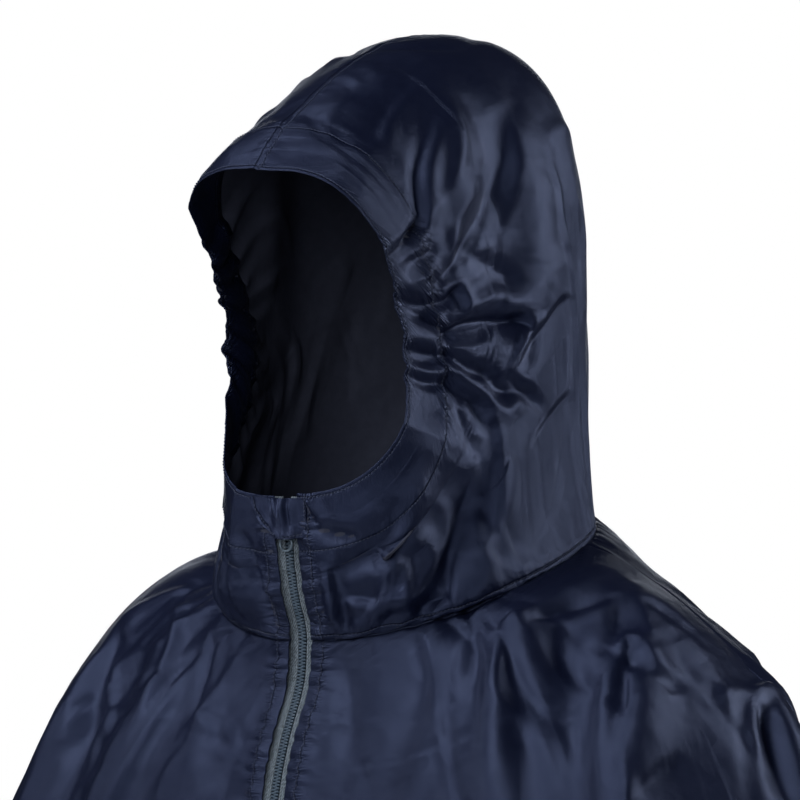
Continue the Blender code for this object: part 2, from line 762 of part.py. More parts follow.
def build():
    collections = start_collections()
    parts = collections["poncho"]
    nylon = finish_of("navy_nylon", (0.016, 0.024, 0.062), 0.38)
    tape = finish_of("grey_tape", (0.10, 0.135, 0.15), 0.85)
    teeth = finish_of("grey_teeth", (0.075, 0.12, 0.15), 0.45)
    enamel = finish_of("enamelled_metal", (0.08, 0.12, 0.14), 0.35, metallic=0.4)
    hood_columns, body_columns = columns_of_half(HOOD_W), columns_of_half(BODY_W)
    for side in ("left", "right"):
        add_hood(side, hood_columns, parts, nylon)
    add_front(body_columns, parts, nylon)
    add_back(body_columns, parts, nylon)
    add_zip(parts, tape, teeth)
    add_guard(parts, nylon)
    add_slider(collections, enamel)
    add_pull(parts, enamel)
    add_stops(parts, enamel)


if __name__ == "__main__":
    build()
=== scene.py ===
"""The looks of a hooded nylon rain poncho, standing open in the form it keeps when it is worn.

The script is laid out as an add-on, with one operator for each group of like pieces and one for the stage.
Units are metres, +Z is up and the front faces -Y, so +X is the wearer's left.

All the cloth lies on one master surface, known by two shares:
  u  once round the body, 0 at the centre front, 0.25 at the wearer's left, 0.5 at the centre back
  w  from -1 at the edge of the face opening, through 0 at the neck seam, to 1 at the hem
"""

import functools
import math
from collections import namedtuple

import bmesh
import bpy
import numpy as np
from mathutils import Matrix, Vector, noise


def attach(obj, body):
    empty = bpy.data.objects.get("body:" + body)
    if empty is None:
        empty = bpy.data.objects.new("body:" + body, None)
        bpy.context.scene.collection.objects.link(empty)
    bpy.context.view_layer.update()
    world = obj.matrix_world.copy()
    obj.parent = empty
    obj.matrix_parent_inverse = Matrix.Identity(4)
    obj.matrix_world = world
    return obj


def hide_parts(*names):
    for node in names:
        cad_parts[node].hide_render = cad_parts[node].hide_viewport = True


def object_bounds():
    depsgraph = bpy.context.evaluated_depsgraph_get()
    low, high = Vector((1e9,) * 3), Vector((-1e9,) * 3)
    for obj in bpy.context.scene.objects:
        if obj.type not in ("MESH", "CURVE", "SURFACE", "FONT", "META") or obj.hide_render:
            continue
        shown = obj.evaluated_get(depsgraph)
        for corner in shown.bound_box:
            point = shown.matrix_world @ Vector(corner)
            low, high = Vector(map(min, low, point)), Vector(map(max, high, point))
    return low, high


bl_info = {
    "name": "Rain Poncho",
    "version": (1, 0, 0),
    "blender": (4, 5, 0),
    "location": "3D View > Sidebar > Poncho",
    "description": "Dresses the packed poncho with its cloth, seams, zip and finishes",
    "category": "Object",
}

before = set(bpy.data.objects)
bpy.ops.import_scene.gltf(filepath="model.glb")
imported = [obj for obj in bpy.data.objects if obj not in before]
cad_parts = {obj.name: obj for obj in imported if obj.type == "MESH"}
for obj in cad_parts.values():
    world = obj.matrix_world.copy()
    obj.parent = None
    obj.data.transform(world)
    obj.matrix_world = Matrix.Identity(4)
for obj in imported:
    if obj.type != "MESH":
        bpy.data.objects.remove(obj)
CAD_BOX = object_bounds()
BODY = "poncho"

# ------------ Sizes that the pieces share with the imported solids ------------

CLOTH_WALL = 0.0015
GAP = 0.0003  # left between pieces that touch on the real garment
SLIT_HALF = 0.009  # the panels stop this far from the zip's centre line
PLACKET_HALF = 0.018  # and are sewn to the zip's tapes this far from it
TAPE_INNER = 0.0033
TAPE_OUT = -CLOTH_WALL - GAP  # the outer face of the tapes, under the panels
TEETH_MIDDLE_OUT = -0.0023
PULL_DROP = 0.0245  # from the face edge down the zip to the pull's axis
SLIDER_MIDDLE = 0.003  # the slider's middle above that axis
SLIDER_LENGTH = 0.012
GUARD_SEAM = 0.0165  # its sewn side
GUARD_WIDTH = 0.034  # from the slit's left edge to its free corner
GUARD_HEIGHT = 0.0262
GUARD_REST = 0.0009  # its inner face over the panels
GUARD_BULGE = 0.0052  # and more over the slider
GUARD_BULGE_HALF = 0.012
GUARD_BULGE_POWER = 1.5  # above 1, the bulge is narrower at its top
GUARD_TOP = (0.0005, 0.35)  # its top row's drop, and its share of the way to the bulge
GUARD_FOOT = 0.98  # its lowest row, as a share of its height
SIDE_SEAM = 17 / 31  # of the way from the placket to the centre back
ZIP_END = (7 / 15) ** 1.25  # the w where the zip and its slit end


HoodSection = namedtuple(
    "HoodSection", "w throat_y throat_z crown_y crown_z half_width front_square back_square setback lift"
)
# Each section is a tilted ring from the throat, round the cheek, to the seam over the head. The setback
# moves its sides behind the straight line from throat to crown, and the lift raises them.
HOOD_SECTIONS = (
    HoodSection(-1.00, -0.127, 0.061, -0.154, 0.266, 0.081, 3.0, 3.2, 0.042, 0.000),
    HoodSection(-0.88, -0.124, 0.023, -0.126, 0.296, 0.089, 3.2, 2.7, 0.062, 0.000),
    HoodSection(-0.72, -0.122, 0.012, -0.030, 0.350, 0.094, 3.2, 2.5, 0.060, 0.000),
    HoodSection(-0.57, -0.120, 0.002, 0.070, 0.350, 0.098, 3.2, 2.3, 0.040, 0.000),
    HoodSection(-0.42, -0.117, -0.008, 0.116, 0.290, 0.100, 3.2, 2.1, 0.018, 0.000),
    HoodSection(-0.28, -0.114, -0.015, 0.124, 0.200, 0.107, 3.0, 2.0, 0.006, 0.002),
    HoodSection(-0.14, -0.112, -0.022, 0.120, 0.118, 0.116, 2.6, 2.0, 0.002, 0.006),
    HoodSection(0.00, -0.111, -0.029, 0.108, 0.058, 0.127, 2.0, 2.0, 0.000, 0.008),
)

BodySection = namedtuple("BodySection", "w side_x side_z front_y front_z back_y back_z square")
BODY_SECTIONS = (
    BodySection(0.00, 0.127, 0.021, -0.111, -0.029, 0.108, 0.058, 2.0),
    BodySection(0.07, 0.163, 0.014, -0.114, -0.056, 0.127, 0.029, 2.05),
    BodySection(0.14, 0.200, -0.004, -0.129, -0.091, 0.139, -0.018, 2.1),
    BodySection(0.22, 0.248, -0.046, -0.140, -0.130, 0.152, -0.070, 2.3),
    BodySection(0.32, 0.296, -0.120, -0.148, -0.200, 0.156, -0.150, 2.4),
    BodySection(0.46, 0.345, -0.260, -0.160, -0.320, 0.162, -0.290, 2.4),
    BodySection(0.62, 0.378, -0.420, -0.175, -0.460, 0.175, -0.440, 2.4),
    BodySection(0.80, 0.405, -0.620, -0.195, -0.640, 0.197, -0.630, 2.35),
    BodySection(1.00, 0.430, -0.860, -0.220, -0.860, 0.222, -0.860, 2.3),
)


def between(at, known, value, slope):
    """A smooth curve through known values with known slopes, read at one place or at an array of places."""
    first = np.clip(np.searchsorted(known, at, side="right") - 1, 0, len(known) - 2)
    step = known[first + 1] - known[first]
    share = (at - known[first]) / step
    rest = 1 - share
    return (
        (1 + 2 * share) * rest**2 * value[first]
        + share * rest**2 * step * slope[first]
        + share**2 * (3 - 2 * share) * value[first + 1]
        - share**2 * rest * step * slope[first + 1]
    )


def curve_through(at, known, value):
    known, value = np.asarray(known, float), np.asarray(value, float)
    return between(at, known, value, np.gradient(value, known))


@functools.cache
def section_curves(sections):
    """The w of each section, with its other sizes and their slopes, as arrays."""
    known = np.array([row.w for row in sections])
    value = np.array([row[1:] for row in sections])
    return known, value, np.gradient(value, known, axis=0)


def section_at(w, sections):
    """Every size of a section at w, by name."""
    return dict(zip(sections[0]._fields[1:], between(w, *section_curves(sections)).tolist()))


# ------------ The master surface ------------

RING_STEPS = 160  # points on half a ring before they are spaced evenly
NECK_EASE = 0.10  # share of the body over which its sections ease out of the neck seam's own curve
FOLD_REACH = (0.004, 0.030)  # shares round and down over which the direction of a fold is read
SEAM_CALM = 0.04  # share down over which the neck seam holds the folds flat
SETBACK_POWERS = (2.3, 1.2)  # how squarely the setback ends, towards the throat and towards the crown
DIP_POWER = 1.6  # how fast the shoulders fall away to the middle of the chest and of the back


def half_ring(front_square, back_square):
    """How far sideways (0 to 1) and forwards (1 to -1) a half superellipse goes, from front to back."""
    angle = np.linspace(0, math.pi, RING_STEPS + 1)
    power = np.where(angle <= math.pi / 2, 2 / front_square, 2 / back_square)
    sideways = np.abs(np.sin(angle)) ** power
    forwards = np.sign(np.cos(angle)) * np.abs(np.cos(angle)) ** power
    return sideways, forwards


def hood_ring(w):
    at = section_at(w, HOOD_SECTIONS)
    sideways, forwards = half_ring(at["front_square"], at["back_square"])
    middle_y, reach_y = (at["throat_y"] + at["crown_y"]) / 2, (at["throat_y"] - at["crown_y"]) / 2
    middle_z, reach_z = (at["throat_z"] + at["crown_z"]) / 2, (at["throat_z"] - at["crown_z"]) / 2
    off_line = 1 - np.abs(forwards) ** np.where(forwards > 0, *SETBACK_POWERS)
    x = at["half_width"] * sideways
    y = middle_y + reach_y * forwards + at["setback"] * off_line
    z = middle_z + reach_z * forwards + at["lift"] * sideways**2
    return np.stack([x, y, z], axis=-1)


def body_section_ring(w):
    at = section_at(w, BODY_SECTIONS)
    sideways, forwards = half_ring(at["square"], at["square"])
    near_middle = np.abs(forwards) ** DIP_POWER
    middle_z = np.where(forwards > 0, at["front_z"], at["back_z"])
    x = at["side_x"] * sideways
    y = np.where(forwards > 0, at["front_y"], at["back_y"]) * np.abs(forwards)
    z = middle_z * near_middle + at["side_z"] * (1 - near_middle)
    return np.stack([x, y, z], axis=-1)


def ease(share):
    share = np.clip(share, 0, 1)
    return share * share * (3 - 2 * share)


@functools.cache
def half_round(w):
    """The points of half a ring on the row w, from front to back, and the length walked to each."""
    if w < 0:
        points = hood_ring(w)
    else:
        seam_share = 1 - ease(w / NECK_EASE)
        points = body_section_ring(w) + seam_share * (hood_ring(0.0) - body_section_ring(0.0))
    steps = np.linalg.norm(np.diff(points, axis=0), axis=1)
    return points, np.concatenate([[0], np.cumsum(steps)])


def plain_points(u, w):
    """The surface without folds. u and w are arrays of one shape, and w is the same all along each row."""
    points = np.empty(u.shape + (3,))
    for row, share in enumerate(w[:, 0]):
        half, walked = half_round(float(share))
        turn = np.mod(u[row], 1)
        left = turn <= 0.5
        walk = np.where(left, 2 * turn, 2 - 2 * turn) * walked[-1]
        for axis in range(3):
            points[row, :, axis] = np.interp(walk, walked, half[:, axis])
        points[row, :, 0] *= np.where(left, 1, -1)
    return points


def unit(ways):
    return ways / np.maximum(np.linalg.norm(ways, axis=-1, keepdims=True), 1e-12)


def outward_of(u, w):
    """The unit normals of the surface without folds, outwards."""
    round_body = plain_points(u + FOLD_REACH[0], w) - plain_points(u - FOLD_REACH[0], w)
    down_body = plain_points(u, w + FOLD_REACH[1]) - plain_points(u, w - FOLD_REACH[1])
    return unit(np.cross(down_body, round_body))


def shares_beside_zip(w, distances):
    """The u of points at these distances to the wearer's left of the zip, on the rows w."""
    halves = [half_round(float(share))[1][-1] for share in w]
    return np.asarray(distances)[None] / (2 * np.array(halves)[:, None])


# ------------ Folds ------------

Station = namedtuple("Station", "u w width height")
# A fold runs through its stations. Its width is the distance over which it sinks to about a third of its
# height, and a negative height is a trough.


def fold(*rows):
    """The stations of a fold, from rows of u and w, and of its width and height in millimetres."""
    return tuple(Station(u, w, width / 1000, height / 1000) for u, w, width, height in rows)


FOLDS = {
    # the elastic draws each cheek of the face opening in
    "left_cheek": fold((0.165, -0.95, 35, 0), (0.21, -0.95, 45, -11), (0.29, -0.95, 45, -11),
        (0.345, -0.95, 35, 0)),
    "right_cheek": fold((0.655, -0.95, 35, 0), (0.71, -0.95, 45, -10), (0.79, -0.95, 45, -10),
        (0.835, -0.95, 35, 0)),
    # the sides of the hood billow behind the drawn cheeks
    "left_billow": fold((0.4, -0.68, 20, 3), (0.372, -0.66, 22, 6), (0.29, -0.63, 22, 6),
        (0.258, -0.47, 26, 3)),
    "left_billow_trough": fold((0.4, -0.71, 16, -2), (0.34, -0.72, 18, -6), (0.294, -0.75, 18, -4)),
    "left_temple": fold((0.42, -0.76, 14, 2), (0.392, -0.78, 15, 5), (0.36, -0.8, 16, 4)),
    "right_billow": fold((0.61, -0.7, 20, 3), (0.65, -0.66, 22, 6), (0.72, -0.6, 24, 5),
        (0.75, -0.45, 26, 2)),
    "right_billow_trough": fold((0.62, -0.76, 16, -2), (0.67, -0.76, 18, -5), (0.705, -0.78, 18, -3)),
    # the slack below the chin and the jaw
    "left_jaw": fold((0.232, -0.45, 22, 3), (0.183, -0.38, 20, 7), (0.15, -0.06, 16, 2)),
    "left_jaw_trough": fold((0.2, -0.55, 18, -3), (0.14, -0.42, 16, -6), (0.118, -0.12, 14, -2)),
    "left_chin": fold((0.12, -0.88, 14, 2), (0.085, -0.7, 16, 6), (0.07, -0.3, 14, 3)),
    "right_jaw": fold((0.77, -0.48, 22, 3), (0.822, -0.38, 20, 6), (0.856, -0.08, 16, 2)),
    "right_chin": fold((0.89, -0.86, 14, 2), (0.918, -0.62, 16, 5), (0.93, -0.25, 14, 2)),
    "nape": fold((0.42, -0.2, 22, 1), (0.5, -0.26, 24, 6), (0.575, -0.21, 22, 1)),
    # the drapes of the front
    "left_swag": fold((0.255, 0.03, 22, 2), (0.205, 0.04, 22, 5), (0.154, 0.1, 23, 9),
        (0.128, 0.22, 25, 11), (0.112, 0.6, 36, 15), (0.106, 1, 45, 22)),
    "left_hollow": fold((0.2, 0.09, 26, -4), (0.181, 0.15, 30, -10), (0.152, 0.24, 30, -8),
        (0.142, 0.45, 34, -4)),
    "left_pinch": fold((0.216, 0.13, 24, 3), (0.197, 0.2, 24, 14), (0.174, 0.3, 25, 19),
        (0.166, 0.6, 34, 21), (0.162, 1, 42, 26)),
    "left_arm": fold((0.288, 0.22, 16, 6), (0.262, 0.3, 20, 16), (0.246, 0.44, 28, 20), (0.238, 1, 44, 28)),
    "left_breast": fold((0.052, 0.3, 26, 3), (0.048, 0.6, 34, 10), (0.046, 1, 40, 18)),
    "right_breast": fold((0.945, 0.12, 18, 3), (0.948, 0.34, 24, 8), (0.95, 1, 40, 18)),
    "right_swag": fold((0.83, 0.08, 16, 4), (0.872, 0.14, 18, 9), (0.892, 0.24, 22, 12),
        (0.896, 1, 42, 22)),
    "right_pinch": fold((0.8, 0.15, 16, 4), (0.826, 0.26, 22, 15), (0.838, 0.5, 32, 19),
        (0.842, 1, 42, 25)),
    "right_hollow": fold((0.84, 0.1, 20, -4), (0.862, 0.22, 24, -7), (0.868, 0.42, 30, -3)),
    "right_arm": fold((0.722, 0.2, 18, 5), (0.752, 0.33, 24, 16), (0.764, 0.55, 32, 20),
        (0.768, 1, 44, 27)),
    # the drapes of the back
    "left_blade": fold((0.33, 0.12, 18, 3), (0.318, 0.3, 26, 13), (0.312, 1, 44, 24)),
    "left_back": fold((0.4, 0.18, 20, 3), (0.386, 0.42, 30, 12), (0.38, 1, 44, 26)),
    "left_middle_back": fold((0.462, 0.34, 24, 2), (0.454, 0.62, 34, 11), (0.45, 1, 42, 20)),
    "right_middle_back": fold((0.524, 0.22, 22, 2), (0.528, 0.5, 32, 11), (0.526, 1, 44, 24)),
    "right_back": fold((0.588, 0.14, 18, 3), (0.602, 0.36, 28, 13), (0.606, 1, 44, 23)),
    "right_blade": fold((0.662, 0.1, 18, 4), (0.684, 0.3, 26, 13), (0.69, 1, 44, 27)),
}
FOLD_STEPS = 10  # points between two stations
Crease = namedtuple("Crease", "sharp lean stations")
# A crease is a finer fold. Sharp goes from 0, soft and round, to 1, a keen edge. Lean goes from -1 to 1 and
# makes the side to the right of its way narrower and the other side wider.


def crease(sharp, lean, *rows):
    """A crease with its stations, from the same rows as a fold."""
    return Crease(sharp, lean, fold(*rows))


# Broad places where the cloth settles in or out from the plain form. They are as wide as a hand.
SETTLINGS = {
    "over_the_head": fold((0.572, -0.96, 34, 0), (0.56, -0.86, 42, -3.5), (0.545, -0.78, 46, -5),
        (0.53, -0.73, 46, -5), (0.512, -0.68, 40, -1.5)),
    "back_of_hood": fold((0.4, -0.44, 36, 0), (0.386, -0.33, 38, -2.2), (0.376, -0.21, 38, -3.8),
        (0.358, -0.12, 36, -4.2), (0.346, -0.02, 30, -2), (0.345, 0.02, 30, -1.5)),
    "right_of_brow": fold((0.618, -1, 18, 0), (0.642, -1, 22, -7), (0.66, -1, 24, -9.5),
        (0.678, -1, 22, -8.5), (0.7, -1, 20, -4), (0.722, -1, 18, 0)),
    "right_of_mouth": fold((0.735, -1, 16, 0), (0.762, -1, 18, 4), (0.776, -1, 18, 4.5), (0.8, -1, 16, 0)),
    "right_of_chin": fold((0.82, -1, 18, 0), (0.842, -1, 22, -5.5), (0.862, -1, 22, -5),
        (0.885, -0.95, 22, -2), (0.905, -0.84, 22, -2.5), (0.917, -0.6, 22, -1.5), (0.93, -0.4, 20, 0)),
    "right_shoulder": fold((0.742, 0, 34, 1), (0.75, 0.06, 40, 6.5), (0.76, 0.12, 44, 7.5),
        (0.768, 0.16, 44, 6.5), (0.78, 0.19, 38, 3), (0.8, 0.21, 34, -1), (0.815, 0.24, 40, -5),
        (0.822, 0.29, 44, -7), (0.825, 0.36, 44, -4), (0.825, 0.46, 40, 0)),
    "beside_the_swag": fold((0.176, 0.07, 12, 0), (0.171, 0.1, 14, 3.5), (0.162, 0.16, 15, 5.5),
        (0.152, 0.24, 15, 5), (0.14, 0.42, 15, 0)),
    "below_the_hollow": fold((0.176, 0.22, 14, 0), (0.168, 0.28, 16, 4), (0.16, 0.38, 18, 3.5),
        (0.155, 0.5, 20, 0)),
    "chest_first": fold((0.138, 0.03, 9, 0), (0.126, 0.07, 10, 2.2), (0.098, 0.15, 12, 2.8),
        (0.08, 0.22, 14, 2.8), (0.06, 0.34, 16, 0)),
    "chest_first_trough": fold((0.108, 0.06, 9, 0), (0.09, 0.13, 11, -2.2), (0.07, 0.2, 13, -2.4),
        (0.05, 0.32, 14, 0)),
    "chest_second": fold((0.158, 0.06, 8, 0), (0.15, 0.1, 8, 2.2), (0.128, 0.17, 9, 2.8),
        (0.115, 0.24, 11, 2.8), (0.104, 0.36, 14, 0)),
    "beside_the_placket": fold((0.036, 0.04, 7, 0), (0.043, 0.1, 8, -2), (0.042, 0.2, 9, -2),
        (0.038, 0.32, 10, 0)),
    "left_shoulder": fold((0.362, 0.02, 30, -1.5), (0.34, 0.08, 36, -3.8), (0.322, 0.14, 42, -4.2),
        (0.32, 0.2, 44, -6.5), (0.318, 0.25, 48, -9), (0.315, 0.3, 52, -10), (0.315, 0.38, 56, -7),
        (0.315, 0.5, 56, 0)),
}

CREASES = {
    # the elastic gathers the left cheek of the face opening: pleats across its hem
    "cheek_pleat_top": crease(0.76, 0, (0.322, -1, 3.5, -1.8), (0.33, -0.955, 4, -4.2),
        (0.348, -0.885, 4, -4.8)),
    "cheek_pleat_small": crease(0.82, 0, (0.315, -0.965, 2.5, 0), (0.322, -0.905, 3, -3),
        (0.327, -0.875, 3, -1.8), (0.337, -0.88, 2.5, 0)),
    "cheek_pleat_hook": crease(0.7, 0.3, (0.3, -0.96, 3, 0), (0.306, -0.91, 3.5, 2.16),
        (0.312, -0.884, 3.5, 2.4), (0.303, -0.868, 3, 1.8), (0.294, -0.866, 3, 0)),
    "cheek_pleat_upper": crease(0.82, 0.2, (0.277, -1.02, 3, -1.2), (0.276, -0.955, 3.5, -3),
        (0.28, -0.905, 3.5, -3.6), (0.285, -0.87, 3, -3), (0.298, -0.835, 3, 0)),
    "cheek_pleat_branch": crease(0.88, 0, (0.266, -0.96, 2.5, -0.6), (0.272, -0.92, 3, -2.4),
        (0.281, -0.89, 3, -1.2)),
    "cheek_pleat_middle": crease(0.88, 0, (0.27, -1.02, 2.5, -1.2), (0.267, -0.96, 3, -3.36),
        (0.263, -0.915, 3.5, -4.2), (0.257, -0.88, 3.5, -3.6)),
    "cheek_pleat_lower": crease(0.82, 0, (0.226, -1.02, 3, -1.8), (0.233, -0.955, 3, -3.36),
        (0.242, -0.885, 3, -3)),
    "cheek_pleat_low": crease(0.82, 0, (0.218, -1.02, 2.5, -1.2), (0.226, -0.95, 2.5, -2.4),
        (0.238, -0.885, 2.5, -1.8)),
    "cheek_pleat_foot": crease(0.82, 0, (0.2, -1.02, 3, -1.8), (0.207, -0.96, 3, -3.36),
        (0.22, -0.885, 3, -3)),
    "cheek_puff_top": crease(0.4, 0, (0.298, -1, 7, 1.2), (0.296, -0.95, 8, 3), (0.3, -0.9, 7, 1.8)),
    "cheek_puff_middle": crease(0.4, 0, (0.245, -1, 6, 1.2), (0.247, -0.95, 7, 3.36), (0.25, -0.9, 6, 1.8)),
    "cheek_puff_low": crease(0.4, 0, (0.212, -1, 4, 1.2), (0.217, -0.95, 5, 2.4), (0.23, -0.9, 4, 1.2)),
    # and the creases that run out of them over the side of the hood
    "gather_line": crease(0.88, 0.3, (0.34, -0.915, 4, -4.2), (0.352, -0.88, 4.5, -5.4),
        (0.37, -0.862, 4, -4.8), (0.39, -0.838, 4, -3.36), (0.412, -0.785, 5, 0)),
    "gather_line_lip": crease(0.46, 0, (0.358, -0.85, 6, 1.2), (0.375, -0.835, 7, 3),
        (0.395, -0.805, 8, 2.4), (0.412, -0.765, 8, 0)),
    "temple_loop": crease(0.52, 0, (0.422, -0.755, 7, 0), (0.402, -0.765, 6, 3), (0.384, -0.78, 6, 3.6),
        (0.37, -0.805, 5, 1.8), (0.362, -0.83, 5, 0)),
    "side_valley": crease(0.58, -0.3, (0.404, -0.69, 6, 0), (0.388, -0.69, 8, -1.44),
        (0.362, -0.708, 9, -2.4), (0.337, -0.765, 8, -4.08), (0.316, -0.83, 6, -4.32),
        (0.3, -0.88, 5, -3.12)),
    "side_ridge": crease(0.52, 0, (0.398, -0.672, 8, 0), (0.376, -0.676, 9, 1.68), (0.35, -0.69, 9, 2.28),
        (0.322, -0.718, 9, 1.92), (0.302, -0.745, 8, 0)),
    "side_small": crease(0.64, 0, (0.343, -0.83, 4, 0), (0.329, -0.832, 4.5, 3), (0.312, -0.852, 4, 1.8),
        (0.3, -0.875, 3, 0)),
    "cheek_shelf": crease(0.76, -0.4, (0.256, -0.89, 4, -4.68), (0.264, -0.845, 5, -6.24),
        (0.263, -0.8, 5.5, -7.08), (0.258, -0.73, 6, -7.8), (0.26, -0.67, 5.5, -7.08),
        (0.256, -0.63, 4, -2.4)),
    "cheek_shelf_lip": crease(0.52, 0, (0.272, -0.88, 5, 1.2), (0.277, -0.835, 5.5, 3),
        (0.278, -0.775, 6, 3.6), (0.272, -0.725, 6, 3), (0.271, -0.66, 6, 0.6)),
    "cheek_shelf_turn": crease(0.76, 0, (0.257, -0.635, 4, 0), (0.244, -0.636, 4, 2.4),
        (0.231, -0.636, 4, 2.4), (0.219, -0.642, 4, 0)),
    "cheek_loop": crease(0.64, 0, (0.284, -0.885, 2.5, 0.6), (0.294, -0.856, 3, 3), (0.297, -0.838, 3, 3),
        (0.288, -0.828, 3, 3), (0.276, -0.832, 3, 2.4), (0.27, -0.855, 3, 0)),
    "cheek_loop_hole": crease(0.64, 0, (0.284, -0.865, 3, -1.2), (0.29, -0.85, 3, -3.6),
        (0.28, -0.843, 3, -1.8)),
    "cheek_frown": crease(0.58, 0, (0.308, -0.835, 4, 0), (0.313, -0.81, 5, -3.6), (0.304, -0.785, 6, -3),
        (0.29, -0.735, 6, -2.4), (0.288, -0.69, 5, 0)),
    "cheek_fan_upper": crease(0.82, 0.3, (0.243, -0.89, 3, -3.12), (0.236, -0.848, 4, -4.68),
        (0.227, -0.805, 4, -4.68), (0.222, -0.745, 4, -2.4), (0.22, -0.68, 4, 0)),
    "cheek_fan_band": crease(0.52, 0, (0.233, -0.885, 4, 1.8), (0.229, -0.855, 5, 3.6),
        (0.22, -0.815, 6, 4.2), (0.206, -0.735, 7, 3.6), (0.199, -0.61, 7, 3), (0.214, -0.47, 7, 0)),
    "cheek_fan_shadow": crease(0.58, 0, (0.231, -0.8, 4, -1.2), (0.216, -0.73, 5, -4.2),
        (0.211, -0.64, 6, -4.8), (0.222, -0.5, 6, -2.4), (0.244, -0.38, 5, 0)),
    "cheek_fan_lower": crease(0.82, 0, (0.22, -0.89, 3, -3.12), (0.211, -0.83, 4, -4.68),
        (0.2, -0.76, 4, -3.12), (0.19, -0.66, 4, 0)),
    "jaw_line_first": crease(0.7, 0, (0.212, -0.875, 4, -1.56), (0.193, -0.825, 5, -3.84),
        (0.173, -0.755, 5, -2.4), (0.158, -0.63, 5, 0)),
    "jaw_line_second": crease(0.7, 0, (0.209, -0.81, 4, 0), (0.192, -0.74, 5, -3.12), (0.178, -0.63, 5, 0)),
    "jaw_line_third": crease(0.58, 0, (0.192, -0.645, 5, 0), (0.176, -0.6, 6, -2.4), (0.163, -0.5, 6, 0)),
    # the smooth side of the hood, behind the gathers
    "side_edge": crease(0.94, 0, (0.384, -0.615, 3, 0), (0.359, -0.604, 3, 1.92), (0.33, -0.57, 3, 2.52),
        (0.318, -0.45, 3, 2.52), (0.317, -0.32, 3, 2.16), (0.312, -0.2, 3, 0)),
    "side_slant": crease(0.88, 0.5, (0.316, -0.43, 5, 0), (0.29, -0.51, 6, -3.12), (0.262, -0.57, 6, -4.68),
        (0.24, -0.612, 5, -3.84), (0.219, -0.645, 4, 0)),
    "side_slant_low": crease(0.82, 0.4, (0.311, -0.29, 5, 0), (0.28, -0.32, 6, -3.12),
        (0.25, -0.335, 6, -3.12), (0.218, -0.34, 5, 0)),
    "side_star": crease(0.82, 0, (0.22, -0.645, 3, -1.56), (0.218, -0.56, 4, -3.12),
        (0.232, -0.46, 4, -3.12), (0.25, -0.355, 4, 0)),
    "side_star_ridge": crease(0.7, 0, (0.219, -0.63, 4, 0), (0.213, -0.56, 5, 2.4), (0.213, -0.48, 5, 0)),
    # below the chin and along the jaw
    "chin_pleat": crease(0.7, 0, (0.019, -1, 2.5, -2.4), (0.026, -0.965, 3, -3.84), (0.034, -0.94, 3, -2.4),
        (0.044, -0.93, 3, 0)),
    "chin_pleat_ridge": crease(0.52, 0, (0.026, -1, 4, 2.4), (0.031, -0.98, 4, 3.84),
        (0.038, -0.955, 4, 1.56)),
    "chin_pocket": crease(0.58, 0, (0.036, -0.935, 4, 0), (0.046, -0.926, 4.5, -4.68),
        (0.058, -0.914, 4.5, -4.68), (0.068, -0.908, 4, 0)),
    "jaw_hollow": crease(0.46, 0, (0.038, -0.79, 7, 0), (0.05, -0.815, 9, -6.24), (0.07, -0.85, 10, -7.8),
        (0.092, -0.875, 9, -6.24), (0.114, -0.905, 7, 0)),
    "jaw_tape": crease(0.82, 0.3, (0.064, -0.42, 2.5, 0), (0.07, -0.59, 2.5, 0.756),
        (0.089, -0.81, 2.5, 0.864), (0.119, -0.888, 2.5, 0.864), (0.152, -0.908, 2.5, 0.648),
        (0.182, -0.912, 2.5, 0)),
    "jaw_tape_second": crease(0.82, -0.3, (0.069, -0.455, 2.5, 0), (0.076, -0.6, 2.5, 0.648),
        (0.095, -0.8, 2.5, 0.708), (0.126, -0.868, 2.5, 0.54), (0.158, -0.89, 2.5, 0)),
    "throat_pocket": crease(0.64, 0.4, (0.037, -0.5, 4, 0), (0.048, -0.455, 6, -6.24),
        (0.061, -0.385, 6, -5.4), (0.066, -0.35, 4, 0)),
    "throat_pocket_side": crease(0.76, 0, (0.063, -0.38, 3.5, -1.56), (0.056, -0.295, 4, -3.84),
        (0.05, -0.19, 4, 0)),
    "throat_line": crease(0.76, 0.3, (0.04, -0.86, 3.5, 0), (0.035, -0.7, 4, -4.68),
        (0.036, -0.44, 4, -4.68), (0.044, -0.18, 4, -3.12), (0.05, -0.02, 3, 0)),
    "throat_ridge": crease(0.58, 0, (0.03, -0.86, 4, 0), (0.029, -0.58, 4.5, 3.84),
        (0.035, -0.3, 4.5, 3.84), (0.042, -0.03, 4, 0.84)),
    "throat_right": crease(0.64, 0, (0.072, -0.05, 4, -1.56), (0.081, -0.145, 5, -3.84),
        (0.087, -0.235, 5, 0)),
    "nape_pinch": crease(0.64, 0, (0.106, -0.01, 4, -2.4), (0.111, -0.11, 5, -5.4),
        (0.121, -0.138, 5, -4.68), (0.132, -0.125, 4, 0)),
    "nape_pinch_ridge": crease(0.58, 0, (0.114, -0.01, 4, 1.2), (0.122, -0.05, 4, 2.4),
        (0.131, -0.085, 4, 0)),
    "placket_fold": crease(0.7, 0, (0.013, -0.93, 3, 0), (0.021, -0.87, 3.5, -2.16), (0.022, -0.7, 3.5, 0)),
    # the right of the throat
    "right_throat_line": crease(0.7, 0, (0.943, -0.93, 4, 0), (0.956, -0.895, 4.5, -4.68),
        (0.964, -0.8, 4.5, -5.4), (0.974, -0.54, 4.5, -4.68), (0.981, -0.245, 4, -3.84),
        (0.984, -0.03, 3, 0)),
    "right_throat_ridge": crease(0.58, 0, (0.966, -0.87, 3.5, 0), (0.972, -0.74, 4, 3.48),
        (0.982, -0.56, 4, 3.12), (0.985, -0.4, 4, 0)),
    "right_jaw_hollow": crease(0.46, 0, (0.962, -0.96, 6, 0), (0.972, -0.86, 7, -2.88),
